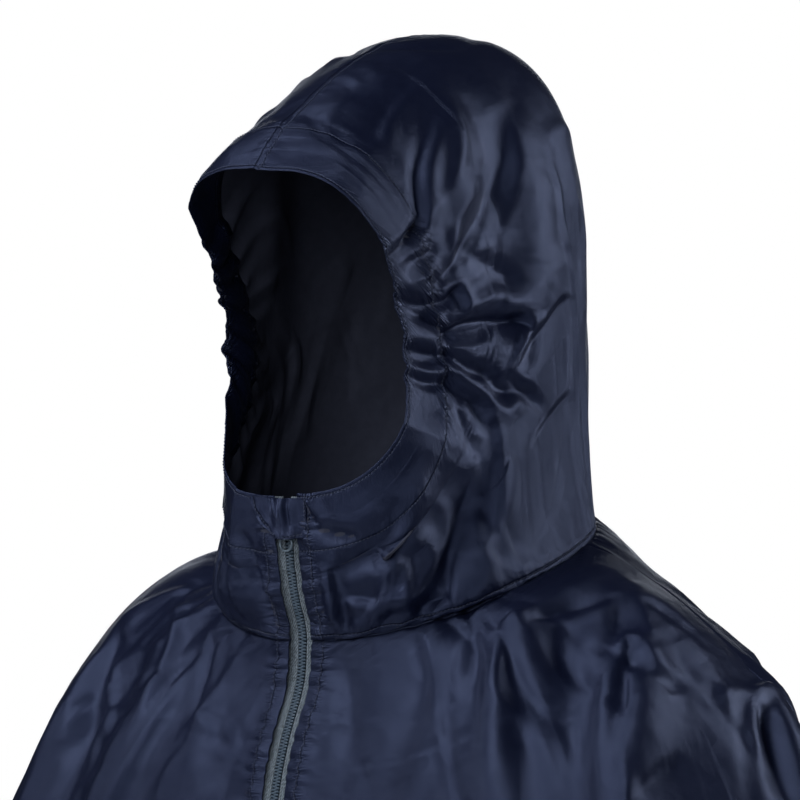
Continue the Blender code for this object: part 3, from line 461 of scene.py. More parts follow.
        (0.975, -0.7, 7, -2.88), (0.972, -0.45, 6, 0)),
    "right_jaw_ridge": crease(0.58, 0.3, (0.936, -0.97, 8, 3), (0.944, -0.8, 9, 5.4), (0.95, -0.48, 9, 5.4),
        (0.944, -0.16, 8, 0)),
    # the front, at the wearer's left
    "swag_lip": crease(0.58, -0.3, (0.152, 0.08, 5, 1.2), (0.168, 0.074, 6, 3.6), (0.19, 0.066, 6, 3.6),
        (0.212, 0.06, 6, 2.4), (0.236, 0.056, 5, 0)),
    "swag_under": crease(0.64, 0.3, (0.166, 0.092, 5, 0), (0.181, 0.085, 7, -4.2), (0.196, 0.087, 8, -4.8),
        (0.214, 0.098, 7, -3.6), (0.23, 0.108, 6, 0)),
    "swag_fall": crease(0.76, 0, (0.152, 0.086, 5, 0), (0.147, 0.115, 5, 3), (0.138, 0.15, 6, 2.4),
        (0.124, 0.235, 8, 0)),
    "swag_second": crease(0.64, 0, (0.166, 0.08, 4, 0), (0.187, 0.066, 4, -2.16), (0.211, 0.058, 4, -2.16),
        (0.24, 0.05, 4, 0)),
    "drape_hollow": crease(0.46, 0.3, (0.234, 0.105, 8, 0), (0.223, 0.13, 11, -4.8), (0.212, 0.15, 12, -6),
        (0.2, 0.176, 12, -6.6), (0.192, 0.205, 11, -5.4), (0.182, 0.25, 9, 0)),
    "drape_rim": crease(0.7, 0, (0.217, 0.152, 4, 0), (0.207, 0.163, 4.5, 4.2), (0.196, 0.179, 4.5, 4.8),
        (0.184, 0.202, 5, 4.2), (0.175, 0.24, 6, 3.6), (0.169, 0.29, 8, 1.8), (0.166, 0.4, 10, 0)),
    "drape_gap": crease(0.88, 0, (0.205, 0.17, 4.5, 0), (0.199, 0.182, 4.5, -3.6), (0.19, 0.2, 4.6, -4.8),
        (0.18, 0.225, 4.8, -5.4), (0.173, 0.262, 4, -4.8), (0.169, 0.33, 5, 0)),
    "drape_loop": crease(0.58, 0, (0.208, 0.16, 4, 2.4), (0.215, 0.157, 4, 3.6), (0.218, 0.166, 4, 3.6),
        (0.216, 0.182, 5, 3), (0.212, 0.205, 6, 0)),
    "drape_loop_hole": crease(0.58, 0, (0.211, 0.172, 4, 0), (0.208, 0.18, 4, -3.6), (0.204, 0.19, 4, 0)),
    "crest_fall": crease(0.52, 0, (0.248, 0.112, 6, 0), (0.233, 0.147, 7, 3), (0.221, 0.184, 7, 3),
        (0.219, 0.205, 6, 1.8), (0.219, 0.225, 5, 0)),
    "crest_dimple": crease(0.46, 0, (0.223, 0.206, 5, 0), (0.218, 0.214, 6, -3), (0.216, 0.224, 5, 0)),
    "crest_dimple_second": crease(0.46, 0, (0.238, 0.222, 5, 0), (0.235, 0.233, 6, -2.4),
        (0.229, 0.238, 5, 0)),
    "arm_lead": crease(0.52, 0, (0.222, 0.222, 6, 0), (0.237, 0.238, 7, 3), (0.253, 0.24, 7, 3.6),
        (0.268, 0.24, 6, 1.2)),
    "arm_rim": crease(0.7, 0, (0.27, 0.24, 4, 1.2), (0.259, 0.247, 5, 4.2), (0.25, 0.258, 5, 4.8),
        (0.243, 0.28, 6, 4.2), (0.237, 0.32, 8, 2.4), (0.232, 0.42, 10, 0)),
    "arm_gap": crease(0.82, 0, (0.259, 0.254, 4, 0), (0.254, 0.268, 5, -6), (0.247, 0.295, 6, -7.2),
        (0.24, 0.34, 8, -3.6), (0.236, 0.42, 9, 0)),
    "arm_loop": crease(0.58, 0, (0.263, 0.242, 4, 2.4), (0.271, 0.24, 4, 3.6), (0.267, 0.254, 5, 3.6),
        (0.261, 0.275, 6, 3), (0.254, 0.31, 8, 0)),
    "drape_shadow": crease(0.58, 0.5, (0.206, 0.264, 6, 0), (0.196, 0.27, 8, -3), (0.184, 0.279, 8, -3),
        (0.17, 0.3, 7, 0)),
    "crest_pucker": crease(0.58, 0, (0.238, 0.128, 4, 0), (0.247, 0.15, 5, -2.16), (0.25, 0.178, 5, -1.8),
        (0.252, 0.205, 5, 0)),
    # the front, at the wearer's right
    "right_fan_first": crease(0.88, 0.2, (0.884, 0.012, 3, 0.6), (0.904, 0.055, 3.5, 2.4),
        (0.919, 0.1, 3.5, 3.12), (0.932, 0.13, 3.5, 2.88), (0.943, 0.143, 4, 1.8), (0.952, 0.155, 4, 0)),
    "right_fan_second": crease(0.88, -0.2, (0.879, 0.022, 3, 0), (0.893, 0.053, 3.5, 2.4),
        (0.904, 0.085, 3.5, 2.64), (0.914, 0.115, 4, 1.8), (0.922, 0.135, 4, 0)),
    "right_fan_trough": crease(0.58, 0, (0.89, 0.03, 4, 0), (0.905, 0.07, 5, -3), (0.918, 0.112, 5, -3),
        (0.928, 0.14, 5, 0)),
    "right_long": crease(0.88, 0.3, (0.898, 0.05, 3, 0), (0.896, 0.1, 4, 2.4), (0.902, 0.165, 4.5, 3.36),
        (0.903, 0.215, 5, 3.12), (0.899, 0.28, 7, 2.4), (0.897, 0.4, 9, 0)),
    "right_pinch_rim": crease(0.88, 0.3, (0.829, 0.072, 3, 0), (0.849, 0.078, 3.5, 3),
        (0.865, 0.094, 3.5, 3.36), (0.88, 0.122, 4, 3.36), (0.893, 0.16, 4, 3.12), (0.897, 0.205, 4.5, 1.8),
        (0.899, 0.25, 5, 0)),
    "right_pinch_top": crease(0.88, 0, (0.828, 0.07, 2.5, 0), (0.836, 0.072, 3, 2.4), (0.848, 0.082, 3, 0)),
    "right_deep": crease(0.58, 0, (0.79, 0.15, 6, 0), (0.811, 0.165, 8, -6), (0.827, 0.187, 9, -8.4),
        (0.84, 0.212, 9, -8.4), (0.851, 0.245, 9, -6), (0.853, 0.3, 9, 0)),
    "right_deep_rim": crease(0.7, 0, (0.812, 0.158, 4, 0), (0.831, 0.172, 5, 3), (0.856, 0.196, 5, 2.4),
        (0.88, 0.22, 6, 0)),
    "right_elbow": crease(0.7, 0, (0.884, 0.236, 4, 0), (0.868, 0.25, 5, 2.4), (0.854, 0.272, 6, 0)),
    "right_nick": crease(0.82, 0, (0.87, 0.232, 3, 0), (0.882, 0.229, 3.5, -2.4), (0.894, 0.217, 3, 0)),
    "right_placket_line": crease(0.64, 0, (0.962, 0.12, 3.5, 0), (0.969, 0.144, 4, -2.16),
        (0.972, 0.17, 4, 0)),
    "right_placket_hook": crease(0.64, 0, (0.948, 0.147, 4, 0), (0.957, 0.153, 4.5, -2.4),
        (0.97, 0.159, 4, 0)),
    "right_soft": crease(0.46, 0, (0.914, 0.016, 6, 0), (0.938, 0.069, 8, 1.8), (0.958, 0.119, 8, 0)),
    "right_snick": crease(0.76, 0, (0.971, 0.046, 2.5, 0), (0.977, 0.032, 3, -3), (0.984, 0.02, 2.5, 0)),
    "right_crest": crease(0.58, 0, (0.832, 0.076, 4, 0), (0.812, 0.062, 5, -2.16), (0.806, 0.03, 5, 0)),
    # over the head
    "crown_dent": crease(0.52, 0, (0.492, -0.735, 6, -1.2), (0.474, -0.722, 6, -3.6),
        (0.462, -0.695, 6, -2.4), (0.458, -0.66, 6, 0)),
    "crown_dent_right": crease(0.52, 0, (0.508, -0.735, 6, -1.2), (0.53, -0.716, 6, -3),
        (0.545, -0.68, 6, 0)),
    "brow_soft": crease(0.46, 0, (0.478, -0.805, 9, 0), (0.457, -0.78, 10, 1.8), (0.448, -0.735, 9, 0)),
    "brow_pucker": crease(0.58, 0, (0.452, -0.9, 4, 0), (0.439, -0.895, 4, -1.8), (0.424, -0.885, 4, 0)),
}


# ------------ Creases ------------

FINEST_CREASE = 0.001
CREASE_SPREAD = 2.4  # a crease is felt this many widths from its line
CREASE_SLOPE = 0.56  # how fast the flat flank of a keen crease falls, in each of its widths
CREASE_ROUND = 0.0007  # the rounding of a keen edge
CREASE_FOOT = 1.25  # above 1, the flank runs out more softly at its foot
CHANCE_STEEPNESS = 0.32  # the most height for its width of a crease by chance


@functools.cache
def crease_line(stations):
    """The line of a crease along the plain surface, with its width and height at each point."""
    places = np.linspace(0, len(stations) - 1, FOLD_STEPS * (len(stations) - 1) + 1)
    u, w, width, height = (
        curve_through(places, range(len(stations)), column) for column in zip(*stations)
    )
    return plain_points(u[:, None], w[:, None])[:, 0], np.maximum(width, FINEST_CREASE), height


def add_crease(lift, points, outward, one, finest=FINEST_CREASE):
    """Adds one crease to the lift of the points, none of it narrower than the finest that they can show."""
    line, width, height = crease_line(one.stations)
    height = height * np.minimum(1, 0.5 + 0.5 * width / finest)
    width = np.maximum(width, finest)
    reach = CREASE_SPREAD * width.max() * (1 + abs(one.lean))
    near = np.all((points > line.min(axis=0) - reach) & (points < line.max(axis=0) + reach), axis=-1)
    at, up = points[near], outward[near]
    if not len(at):
        return
    nearest = np.full(len(at), np.inf)
    place, side = np.zeros(len(at)), np.ones(len(at))
    for step, (first, last) in enumerate(zip(line[:-1], line[1:])):
        way = last - first
        share = np.clip((at - first) @ way / max(way @ way, 1e-12), 0, 1)
        off = at - first - share[:, None] * way
        away = np.einsum("ij,ij->i", off, off)
        closer = away < nearest
        nearest[closer] = away[closer]
        place[closer] = step + share[closer]
        side[closer] = np.sign(np.einsum("ij,ij->i", np.cross(way, off[closer]), up[closer]))
    steps = np.arange(len(width))
    wide = np.interp(place, steps, width) * (1 + one.lean * side)
    soft = np.exp(-nearest / wide**2)
    fallen = CREASE_SLOPE * (np.sqrt(nearest + CREASE_ROUND**2) - CREASE_ROUND) / wide
    keen = np.maximum(0, 1 - fallen) ** CREASE_FOOT
    lift[near] += np.interp(place, steps, height) * (soft + one.sharp * (keen - soft))


def chance_creases(seed, count, u_range, w_range, slope, length, width, height):
    """Small creases in chance places. slope is their angle from the fall line, and its spread, in degrees.
    Lengths, widths and heights are ranges in millimetres."""
    chance = np.random.default_rng(seed)
    made = []
    for _ in range(count):
        u, w = chance.uniform(*u_range), chance.uniform(*w_range)
        long = chance.uniform(*length) / 1000
        turn = math.radians(chance.normal(*slope))
        bend = math.radians(chance.normal(0, 25))
        wide = chance.uniform(*width) / 1000
        high = min(chance.uniform(*height) / 1000, CHANCE_STEEPNESS * wide) * chance.choice((-1, 1))
        round_scale, down_scale = shares_of_a_metre(u, w)
        rows = []
        for share, full in ((-0.5, 0), (-0.2, 0.8), (0.15, 1), (0.5, 0)):
            angle = turn + bend * share
            rows.append(
                Station(
                    u + share * long * math.sin(angle) * round_scale,
                    w + share * long * math.cos(angle) * down_scale,
                    wide * (1.2 - 0.4 * full),
                    high * full,
                )
            )
        made.append(Crease(chance.uniform(0.7, 1.2), chance.uniform(-0.6, 0.6), tuple(rows)))
    return made


def shares_of_a_metre(u, w):
    """How much u and how much w a metre makes, round the body and down it, near one place."""
    step = 0.01
    below = w + step if w < 0.98 else w - step
    at = plain_points(np.array([[u], [u + step], [u]]), np.array([[w], [w], [below]]))[:, 0]
    return step / np.linalg.norm(at[1] - at[0]), step / np.linalg.norm(at[2] - at[0])


# ------------ Cloth ------------


def spread(first, last, count, *dense):
    """count + 1 shares from first to last. Each of dense is a middle, a half width and how much closer."""
    fine = np.linspace(first, last, 4000)
    weight = np.ones_like(fine)
    for middle, half, closer in dense:
        weight += (closer - 1) * np.exp(-(((fine - middle) / half) ** 4))
    walked = np.concatenate([[0], np.cumsum((weight[1:] + weight[:-1]) / 2)])
    return np.interp(np.linspace(0, walked[-1], count + 1), walked, fine)


def bordered(values):
    """A grid with one more row and column on every side, going on evenly."""
    for axis in range(values.ndim):
        values = np.moveaxis(values, axis, 0)
        values = np.concatenate([2 * values[:1] - values[1:2], values, 2 * values[-1:] - values[-2:-1]])
        values = np.moveaxis(values, 0, axis)
    return values


def walked_down(points):
    """How far down its column each point of a grid lies, in metres."""
    steps = np.linalg.norm(np.diff(points, axis=0), axis=-1)
    return np.concatenate([np.zeros((1, points.shape[1])), np.cumsum(steps, axis=0)])


def normals_of(points):
    return unit(np.cross(np.gradient(points, axis=0), np.gradient(points, axis=1)))


def chance_swell(points, size, seed):
    """Soft swelling by chance, from about -1 to 1, with its size in metres."""
    start = Vector((3.1, 5.7, 7.9)) * seed
    flat = (points / size).reshape(-1, 3)
    return np.array([noise.noise(Vector(at) + start) for at in flat]).reshape(points.shape[:-1])


def chance_ridges(points, size, seed):
    """A net of soft ridges by chance, from 0 to 1."""
    return (1 - np.minimum(1, 2.4 * np.abs(chance_swell(points, size, seed)))) ** 2


def bump_at(away, reach):
    return np.exp(-((away / reach) ** 2))


def puckers(along, away, spacing, reach, height, seed):
    """The small waves that a line of stitches draws into the cloth. Returns their lift."""
    chance = np.random.default_rng(seed)
    count = int(np.ptp(along) / spacing) + 4
    places = along.min() - spacing + np.cumsum(chance.uniform(0.5, 1.5, count)) * spacing
    heights = np.where(np.arange(count) % 2, 1, -1) * chance.uniform(0.3, 1.2, count)
    reaches = chance.uniform(0.45, 1.5, count) * reach
    step = np.clip(np.searchsorted(places, along) - 1, 0, count - 2)
    share = ease((along - places[step]) / (places[step + 1] - places[step]))
    wave = heights[step] + share * (heights[step + 1] - heights[step])
    far = reaches[step] + share * (reaches[step + 1] - reaches[step])
    return height * wave * bump_at(away, far)


def pillows(along, away, spacing, reach, height, seed):
    """The small pillows that cloth makes along a gathered seam, with keen valleys between."""
    chance = np.random.default_rng(seed)
    count = int(np.ptp(along) / spacing) + 4
    places = along.min() - spacing + np.cumsum(chance.uniform(0.45, 1.6, count)) * spacing
    slant = chance.uniform(-0.35, 0.35, count)
    shifted = along + away * slant[np.clip(np.searchsorted(places, along) - 1, 0, count - 1)]
    step = np.clip(np.searchsorted(places, shifted) - 1, 0, count - 2)
    share = np.clip((shifted - places[step]) / (places[step + 1] - places[step]), 0, 1)
    tall = chance.uniform(0.25, 1.3, count)[step]
    far = chance.uniform(0.5, 1.4, count)[step] * reach
    return height * tall * (4 * share * (1 - share)) ** 0.8 * bump_at(away, far)


FAR_FROM_SEAM = 0.1


class Cloth:
    """A piece of cloth on a fine grid of shares. Its rows run down and its columns to the wearer's left."""

    def __init__(self, columns, w, creases=(), out=0.0, finest=FINEST_CREASE):
        u = bordered(columns)
        w = np.broadcast_to(bordered(np.asarray(w))[:, None], u.shape)
        plain = plain_points(u, w)
        outward = outward_of(u, w)
        lift = np.zeros(u.shape)
        for stations in FOLDS.values():
            add_crease(lift, plain, outward, Crease(0, 0, stations))
        lift *= 1 - np.exp(-((w / SEAM_CALM) ** 2))
        for stations in SETTLINGS.values():
            add_crease(lift, plain, outward, Crease(0, 0, stations))
        base = plain + lift[..., None] * outward
        inner = (slice(1, -1), slice(1, -1))
        self.u, self.w = u[inner], w[inner]
        self.plain, self.outward = plain[inner], outward[inner]
        self.normals = normals_of(base)[inner]
        self.points = base[inner]
        self.seams = np.full((*self.u.shape, 6), FAR_FROM_SEAM)
        self.gathered = np.zeros(self.u.shape)
        self.down = walked_down(self.points)
        self.along = walked_down(self.points.swapaxes(0, 1)).T
        self.lift = np.zeros(self.u.shape) + out
        for one in creases:
            add_crease(self.lift, self.plain, self.outward, one, finest)

    def along_at(self, shares):
        """How far along each row a share round the body lies. It is one for all rows, or one for each."""
        shares = np.broadcast_to(shares, len(self.u))
        found = [np.interp(at, row, walked) for at, row, walked in zip(shares, self.u, self.along)]
        return np.array(found)[:, None]

    def know_seams(self, *ways):
        """Notes how far each point lies from each seam, for the finish."""
        for number, way in enumerate(ways):
            self.seams[..., number] = way

    def settle(self):
        """Moves the points out by their lift, which is then used up."""
        self.points = self.points + self.lift[..., None] * self.normals
        self.normals = normals_of(self.points)
        self.lift = np.zeros(self.u.shape)

    def sheet(self):
        """The points with what the finish wants to know: the ways to the seams, round and down."""
        ways = np.stack([self.along, self.down, self.gathered], axis=-1)
        return np.concatenate([self.points, self.seams, ways], axis=-1)

    def at(self, rows, columns):
        """Points and normals between the grid's own, at fractional rows and columns."""
        rows = np.clip(rows, 0, self.u.shape[0] - 1.001)
        columns = np.clip(columns, 0, self.u.shape[1] - 1.001)
        row, column = rows.astype(int), columns.astype(int)
        down, over = (rows - row)[:, None], (columns - column)[:, None]
        found = []
        for values in (self.points, self.normals):
            upper = values[row, column] * (1 - over) + values[row, column + 1] * over
            lower = values[row + 1, column] * (1 - over) + values[row + 1, column + 1] * over
            found.append(upper * (1 - down) + lower * down)
        return found


ROLL_STEPS = 5  # rows round the roll of a turned edge
INNER_STEP = 3  # the hidden layer of a turned edge takes one row in this many


def turned_under(points, normals, allowance):
    """Cloth turned under along a grid's first row: its inner layer from the far side, then its roll."""
    points, ways = points[..., :3], points[..., 3:]
    rows = 1 + int(np.argmax(walked_down(points).mean(axis=1) > allowance))
    under = slice(rows, 0, -INNER_STEP)
    away = points[0] - points[1]
    away = unit(away - np.einsum("ij,ij->i", away, normals[0])[:, None] * normals[0])
    middle = points[0] - TURN_WALL / 2 * normals[0]
    roll = [
        middle + TURN_WALL / 2 * (math.cos(turn) * normals[0] + math.sin(turn) * away)
        for turn in np.linspace(math.pi, 0, ROLL_STEPS + 1)[:-1]
    ]
    made = np.concatenate([(points - TURN_WALL * normals)[under], roll, points[:1]])
    return np.concatenate([made, np.concatenate([ways[under], *[ways[:1]] * (ROLL_STEPS + 1)])], axis=-1)


def turned_edge(side, points, normals, allowance):
    """The turned top, bottom, first or last edge of a grid, as a grid that carries on its own."""
    upright = side in ("first", "last")
    step = -1 if side in ("bottom", "last") else 1
    if upright:
        points, normals = points.swapaxes(0, 1), normals.swapaxes(0, 1)
    made = turned_under(points[::step], normals[::step], allowance)[::step]
    return made.swapaxes(0, 1) if upright else made


def with_turned_edges(cloth, **allowances):
    """The grid of a cloth, and those of its turned edges. Names are top, bottom, first and last."""
    sheet = cloth.sheet()
    return [sheet] + [turned_edge(side, sheet, cloth.normals, most) for side, most in allowances.items()]


def grid_mesh(name, grids, left_out=None):
    """One mesh from grids that share their edges, with a UV map in metres. left_out marks quads of the
    first."""
    points, faces, places = [], [], []
    start = 0
    for number, grid in enumerate(grids):
        rows, columns = grid.shape[:2]
        index = start + np.arange(rows * columns).reshape(rows, columns)
        quads = np.stack([index[:-1, :-1], index[1:, :-1], index[1:, 1:], index[:-1, 1:]], axis=-1)
        keep = np.ones(quads.shape[:2], bool)
        if number == 0 and left_out is not None:
            keep = ~left_out
        faces.append(quads[keep])
        flat = grid[..., :3]
        points.append(grid.reshape(rows * columns, -1))
        over = walked_down(flat.swapaxes(0, 1)).T
        places.append(np.stack([over, -walked_down(flat)], axis=-1).reshape(-1, 2))
        start += rows * columns
    points, faces, places = np.concatenate(points), np.concatenate(faces), np.concatenate(places)
    mesh = bpy.data.meshes.new(name)
    mesh.from_pydata(points[:, :3], [], faces.tolist())
    for number, known in enumerate(("seams_round", "seams_down", "cloth_ways"), 1):
        if points.shape[1] >= 3 * number + 3:
            values = points[:, 3 * number : 3 * number + 3].astype(np.float32).reshape(-1)
            mesh.attributes.new(known, "FLOAT_VECTOR", "POINT").data.foreach_set("vector", values)
    chart = mesh.uv_layers.new(name="cloth")
    chart.data.foreach_set("uv", places[faces.reshape(-1)].astype(np.float32).reshape(-1))
    shape = bmesh.new()
    shape.from_mesh(mesh)
    if len(grids) > 1:
        bmesh.ops.remove_doubles(shape, verts=shape.verts, dist=1e-6)
    loose = [point for point in shape.verts if not point.link_faces]
    bmesh.ops.delete(shape, geom=loose, context="VERTS")
    shape.to_mesh(mesh)
    shape.free()
    mesh.shade_smooth()
    return mesh


def add_piece(name, mesh, slot, *materials):
    piece = bpy.data.objects.new(name, mesh)
    bpy.context.scene.collection.objects.link(piece)
    for material in materials:
        mesh.materials.append(material)
    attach(piece, BODY)
    return piece


def thicken(piece, thickness):
    """Gives a piece its thickness, inwards."""
    solidify = piece.modifiers.new("thickness", "SOLIDIFY")
    solidify.thickness = thickness
    solidify.offset = -1
    return solidify


def add_cloth(name, grids, left_out=None):
    """A nylon piece with its thickness and its two finishes."""
    piece = add_piece(name, grid_mesh(name, grids, left_out), "nylon", nylon_outside(), nylon_inside())
    thicken(piece, CLOTH_THICKNESS).material_offset = 1
    return piece


# ------------ Stitches ------------

STITCH_RINGS = ((-1, 0.15), (-0.7, 0.8), (0, 1), (0.7, 0.8), (1, 0.15))  # shares of half length and radius
STITCH_SIDES = 5
STITCH_PITCH = 0.0025
STITCH_LENGTH = 0.0017
STITCH_RADIUS = 0.00038
STITCH_SINK = 0.3  # share of its radius that a stitch lies in the cloth
STITCH_ARCH = 0.5  # share of its radius by which its ends bow down


def along_line(places, walked, values):
    """The points or normals of a line at these ways along it."""
    return np.stack([np.interp(places, walked, values[:, axis]) for axis in range(3)], axis=1)


def stitches_along(points, normals):
    """A row of stitches along a line on the cloth: the points and faces of a small spindle for each."""
    walked = np.concatenate([[0], np.cumsum(np.linalg.norm(np.diff(points, axis=0), axis=1))])
    places = np.arange(STITCH_PITCH / 2, walked[-1], STITCH_PITCH)
    step = 0.0005
    way = unit(along_line(places + step, walked, points) - along_line(places - step, walked, points))
    up = along_line(places, walked, normals)
    side = unit(np.cross(way, up))
    up = np.cross(side, way)
    centre = along_line(places, walked, points) + (1 - STITCH_SINK) * STITCH_RADIUS * up
    rings = []
    for share, wide in STITCH_RINGS:
        middle = centre + share * STITCH_LENGTH / 2 * way - STITCH_ARCH * STITCH_RADIUS * share * share * up
        for turn in np.arange(STITCH_SIDES) * math.tau / STITCH_SIDES:
            rings.append(middle + wide * STITCH_RADIUS * (math.cos(turn) * up + math.sin(turn) * side))
    made = np.stack(rings, axis=1)
    faces = []
    for ring in range(len(STITCH_RINGS) - 1):
        here, there = ring * STITCH_SIDES, (ring + 1) * STITCH_SIDES
        for turn in range(STITCH_SIDES):
            after = (turn + 1) % STITCH_SIDES
            faces.append((here + turn, here + after, there + after, there + turn))
    return made.reshape(-1, 3), [
        tuple(one * made.shape[1] + corner for corner in face) for one in range(len(made)) for face in faces
    ]


def joined(parts):
    """One list of points and one of faces from several of both."""
    points, faces, start = [], [], 0
    for made, quads in parts:
        points.append(made)
        faces += [tuple(start + corner for corner in quad) for quad in quads]
        start += len(made)
    return np.concatenate(points), faces


def add_stitches(name, lines):
    """All the stitches of a piece as one mesh. Each line is its points and its normals."""
    points, faces = joined(stitches_along(*line) for line in lines)
    mesh = bpy.data.meshes.new(name)
    mesh.from_pydata(points, [], faces)
    mesh.shade_smooth()
    return add_piece(name, mesh, "nylon", thread())


# ------------ Seams ------------

CASING = 0.036  # the turned hem round the face opening
EDGE_STITCH = 0.0022
NECK_STITCH = 0.0030  # above the neck seam, through the hood's turned edge
CROWN_STITCH = 0.0025
PLACKET_STITCH = PLACKET_HALF - SLIT_HALF - 0.0005  # from the slit's folded edge
PLACKET_TIGHT = 0.008  # how far the placket's stitches draw the cloth
HEM = 0.020
TAPE_DIP = 0.0004  # the most that the cloth dips over the zip's tapes
SEAM_TUCK = 0.0013  # how far a tucked edge lies under the piece that laps it
SEAM_EASE = 0.0035  # and the way over which it comes up again
TURN_WALL = 0.0009  # from the outer to the inner layer of a turned edge
TURN_PAST = 0.004  # how far the inner layer of a hem goes past its stitches
SEAM_TURN = 0.007  # and that of a seam from its fold
HOOD_PLACKET_TURN = 0.011
FRONT_PLACKET_TURN = 0.010
CLOTH_THICKNESS = 0.00035
SEAM_LAP = 0.004  # share round the body by which one piece reaches under its neighbour
# How much farther each half of the hood comes over the face than its solid, and how far behind the
# edge that dies away, both as shares of the hood's depth.
FACE_REACH = {"left": 0.0057231, "right": 0.0004726}
FACE_FADE = 0.25
ELASTIC_START = (0.165, 0.04)  # the share round the body where the elastic begins, and its easing
ELASTIC_END = (0.335, 0.03)
NECK_ROWS = (-0.024, -0.016, -0.008)  # rows of the panels that reach up under the hood
SLIT_COLUMNS = 16  # columns of the front beside its slit, enough for the turned edge there


def stitch_groove(away, depth=0.0005, half=0.0009):
    return -depth * bump_at(away, half)


def tuck_below(from_edge):
    """The drop of a tucked edge. from_edge is the way from the lapping edge, below zero under it."""
    return -SEAM_TUCK * tight_beside(from_edge, SEAM_EASE)


def cloth_relief(cloth, seed, height):
    """The unevenness that light nylon keeps everywhere: broad swelling, and a net of faint keen ridges."""
    broad = 1.2 * chance_swell(cloth.plain, 0.110, seed) + 0.08 * chance_swell(cloth.plain, 0.030, seed + 1)
    ridges = chance_ridges(cloth.plain, 0.060, seed + 2) * (0.5 + chance_swell(cloth.plain, 0.09, seed + 3))
    return height * (broad + 0.7 * ridges)


def above_tape(cloth, from_slit):
    """Keeps the cloth beside the zip from dipping through the tape."""
    past_tape = from_slit - (PLACKET_HALF - SLIT_HALF)
    cloth.lift -= np.minimum(cloth.lift + TAPE_DIP, 0) * tight_beside(past_tape, 0.004)


def placket_gathers(along, from_slit, height, seed):
    """The pillows beside the seam of the placket."""
    return pillows(along, from_slit - 0.8 * PLACKET_STITCH, 0.0085, 0.0085, height, seed)


def tight_beside(away, reach):
    """From 1 where a seam holds the cloth tight to 0 this far from it."""
    return 1 - ease(away / reach)


def fold_between(across_line, down_line, start, end, half, height):
    """The lift of a small fold along a straight way, full at its start and dying out at its end."""
    way = end[0] - start[0], end[1] - start[1]
    off = across_line - start[0], down_line - start[1]
    share = np.clip((off[0] * way[0] + off[1] * way[1]) / (way[0] ** 2 + way[1] ** 2), 0, 1)
    away = np.hypot(off[0] - share * way[0], off[1] - share * way[1])
    return height * (1 - share**2) * bump_at(away, half)


def hood_cloth(side, settings):
    """Half of the hood, from the slit to the seam over the head, with its hem, seams and gathers."""
    is_left = side == "left"
    fine = 1.0 if is_left else 0.8
    rows = spread(-1, 0, int(184 * fine), (-0.93, 0.16, 1.6), (0.02, 0.06, 1.6))
    beside = shares_beside_zip(rows, [SLIT_HALF])
    share = spread(0, 1, int(222 * fine), (0.0, 0.10, 1.5), (0.50, 0.22, 1.8))
    if is_left:
        columns = beside + share[None] * (0.5 - beside)
    else:
        columns = 1 - (beside + share[None] * (0.5 + SEAM_LAP - beside))[:, ::-1]
    creases = list(CREASES.values()) + hidden_creases(side)
    reaching = rows - FACE_REACH[side] * np.maximum(0, 1 - (rows + 1) / FACE_FADE) ** 2
    cloth = Cloth(columns, reaching, creases, finest=0.0036)
    from_face = cloth.down
    from_neck = cloth.down[-1:] - cloth.down
    to_last = cloth.along[:, -1:] - cloth.along
    from_slit = cloth.along if is_left else to_last
    from_crown = to_last if is_left else cloth.along - cloth.along_at(0.5)
    turn = cloth.u if is_left else 1 - cloth.u
    cloth.lift += stitch_groove(from_crown - CROWN_STITCH) if is_left else tuck_below(from_crown)
    cloth.lift += pillows(from_face, from_crown - CROWN_STITCH, 0.009, 0.008, 0.0008, 11 if is_left else 12)
    (start, start_ease), (end, end_ease) = ELASTIC_START, ELASTIC_END
    elastic = ease((turn - start) / start_ease) * (1 - ease((turn - end) / end_ease))
    cloth.lift += 0.0004 * tight_beside(from_face - CASING, 0.0012)
    cloth.lift += (
        stitch_groove(from_face - EDGE_STITCH, 0.00025) + stitch_groove(from_face - CASING, 0.0004)
    )
    cloth.lift += pillows(from_slit, from_face - CASING, 0.0075, 0.0060, 0.0007, 13)
    cloth.lift += pillows(from_slit, from_face - EDGE_STITCH, 0.0070, 0.0030, 0.0004, 14)
    cloth.lift += elastic * pillows(from_slit, from_face, 0.0100, 0.010, 0.0016, 15)
    cloth.lift += elastic * pillows(from_slit, from_face - CASING, 0.0085, 0.010, 0.0016, 16)
    cloth.lift += stitch_groove(from_neck - NECK_STITCH)
    cloth.lift += pillows(from_slit, from_neck - NECK_STITCH, 0.0085, 0.0085, 0.0008, 17)
    cloth.lift += stitch_groove(from_slit - PLACKET_STITCH, 0.0004)
    cloth.lift += placket_gathers(from_face, from_slit, 0.0024, 18)
    cloth.lift += cloth_relief(cloth, 3 if is_left else 23, settings.crumple)
    above_tape(cloth, from_slit)
    cloth.know_seams(
        EDGE_STITCH - from_face, from_face - CASING, from_neck - NECK_STITCH,
        from_slit - PLACKET_STITCH, from_crown - CROWN_STITCH,
    )
    by_elastic = elastic * tight_beside(from_face - CASING - 0.004, 0.03)
    cloth.gathered = by_elastic + 0.6 * tight_beside(from_slit - PLACKET_STITCH, PLACKET_TIGHT)
    cloth.settle()
    cloth.lines = [
        line_across(cloth, from_face, EDGE_STITCH),
        line_across(cloth, from_face, CASING),
        line_across(cloth, from_neck, NECK_STITCH),
        line_down(cloth, from_slit, PLACKET_STITCH),
    ]
    if is_left:
        cloth.lines.append(line_down(cloth, from_crown, CROWN_STITCH))
    return cloth


def crossing(known, wanted):
    """Where values that rise or fall steadily reach the one wanted, as a fractional index."""
    step = -1 if known[0] > known[-1] else 1
    return np.interp(wanted, known[::step], np.arange(len(known))[::step])


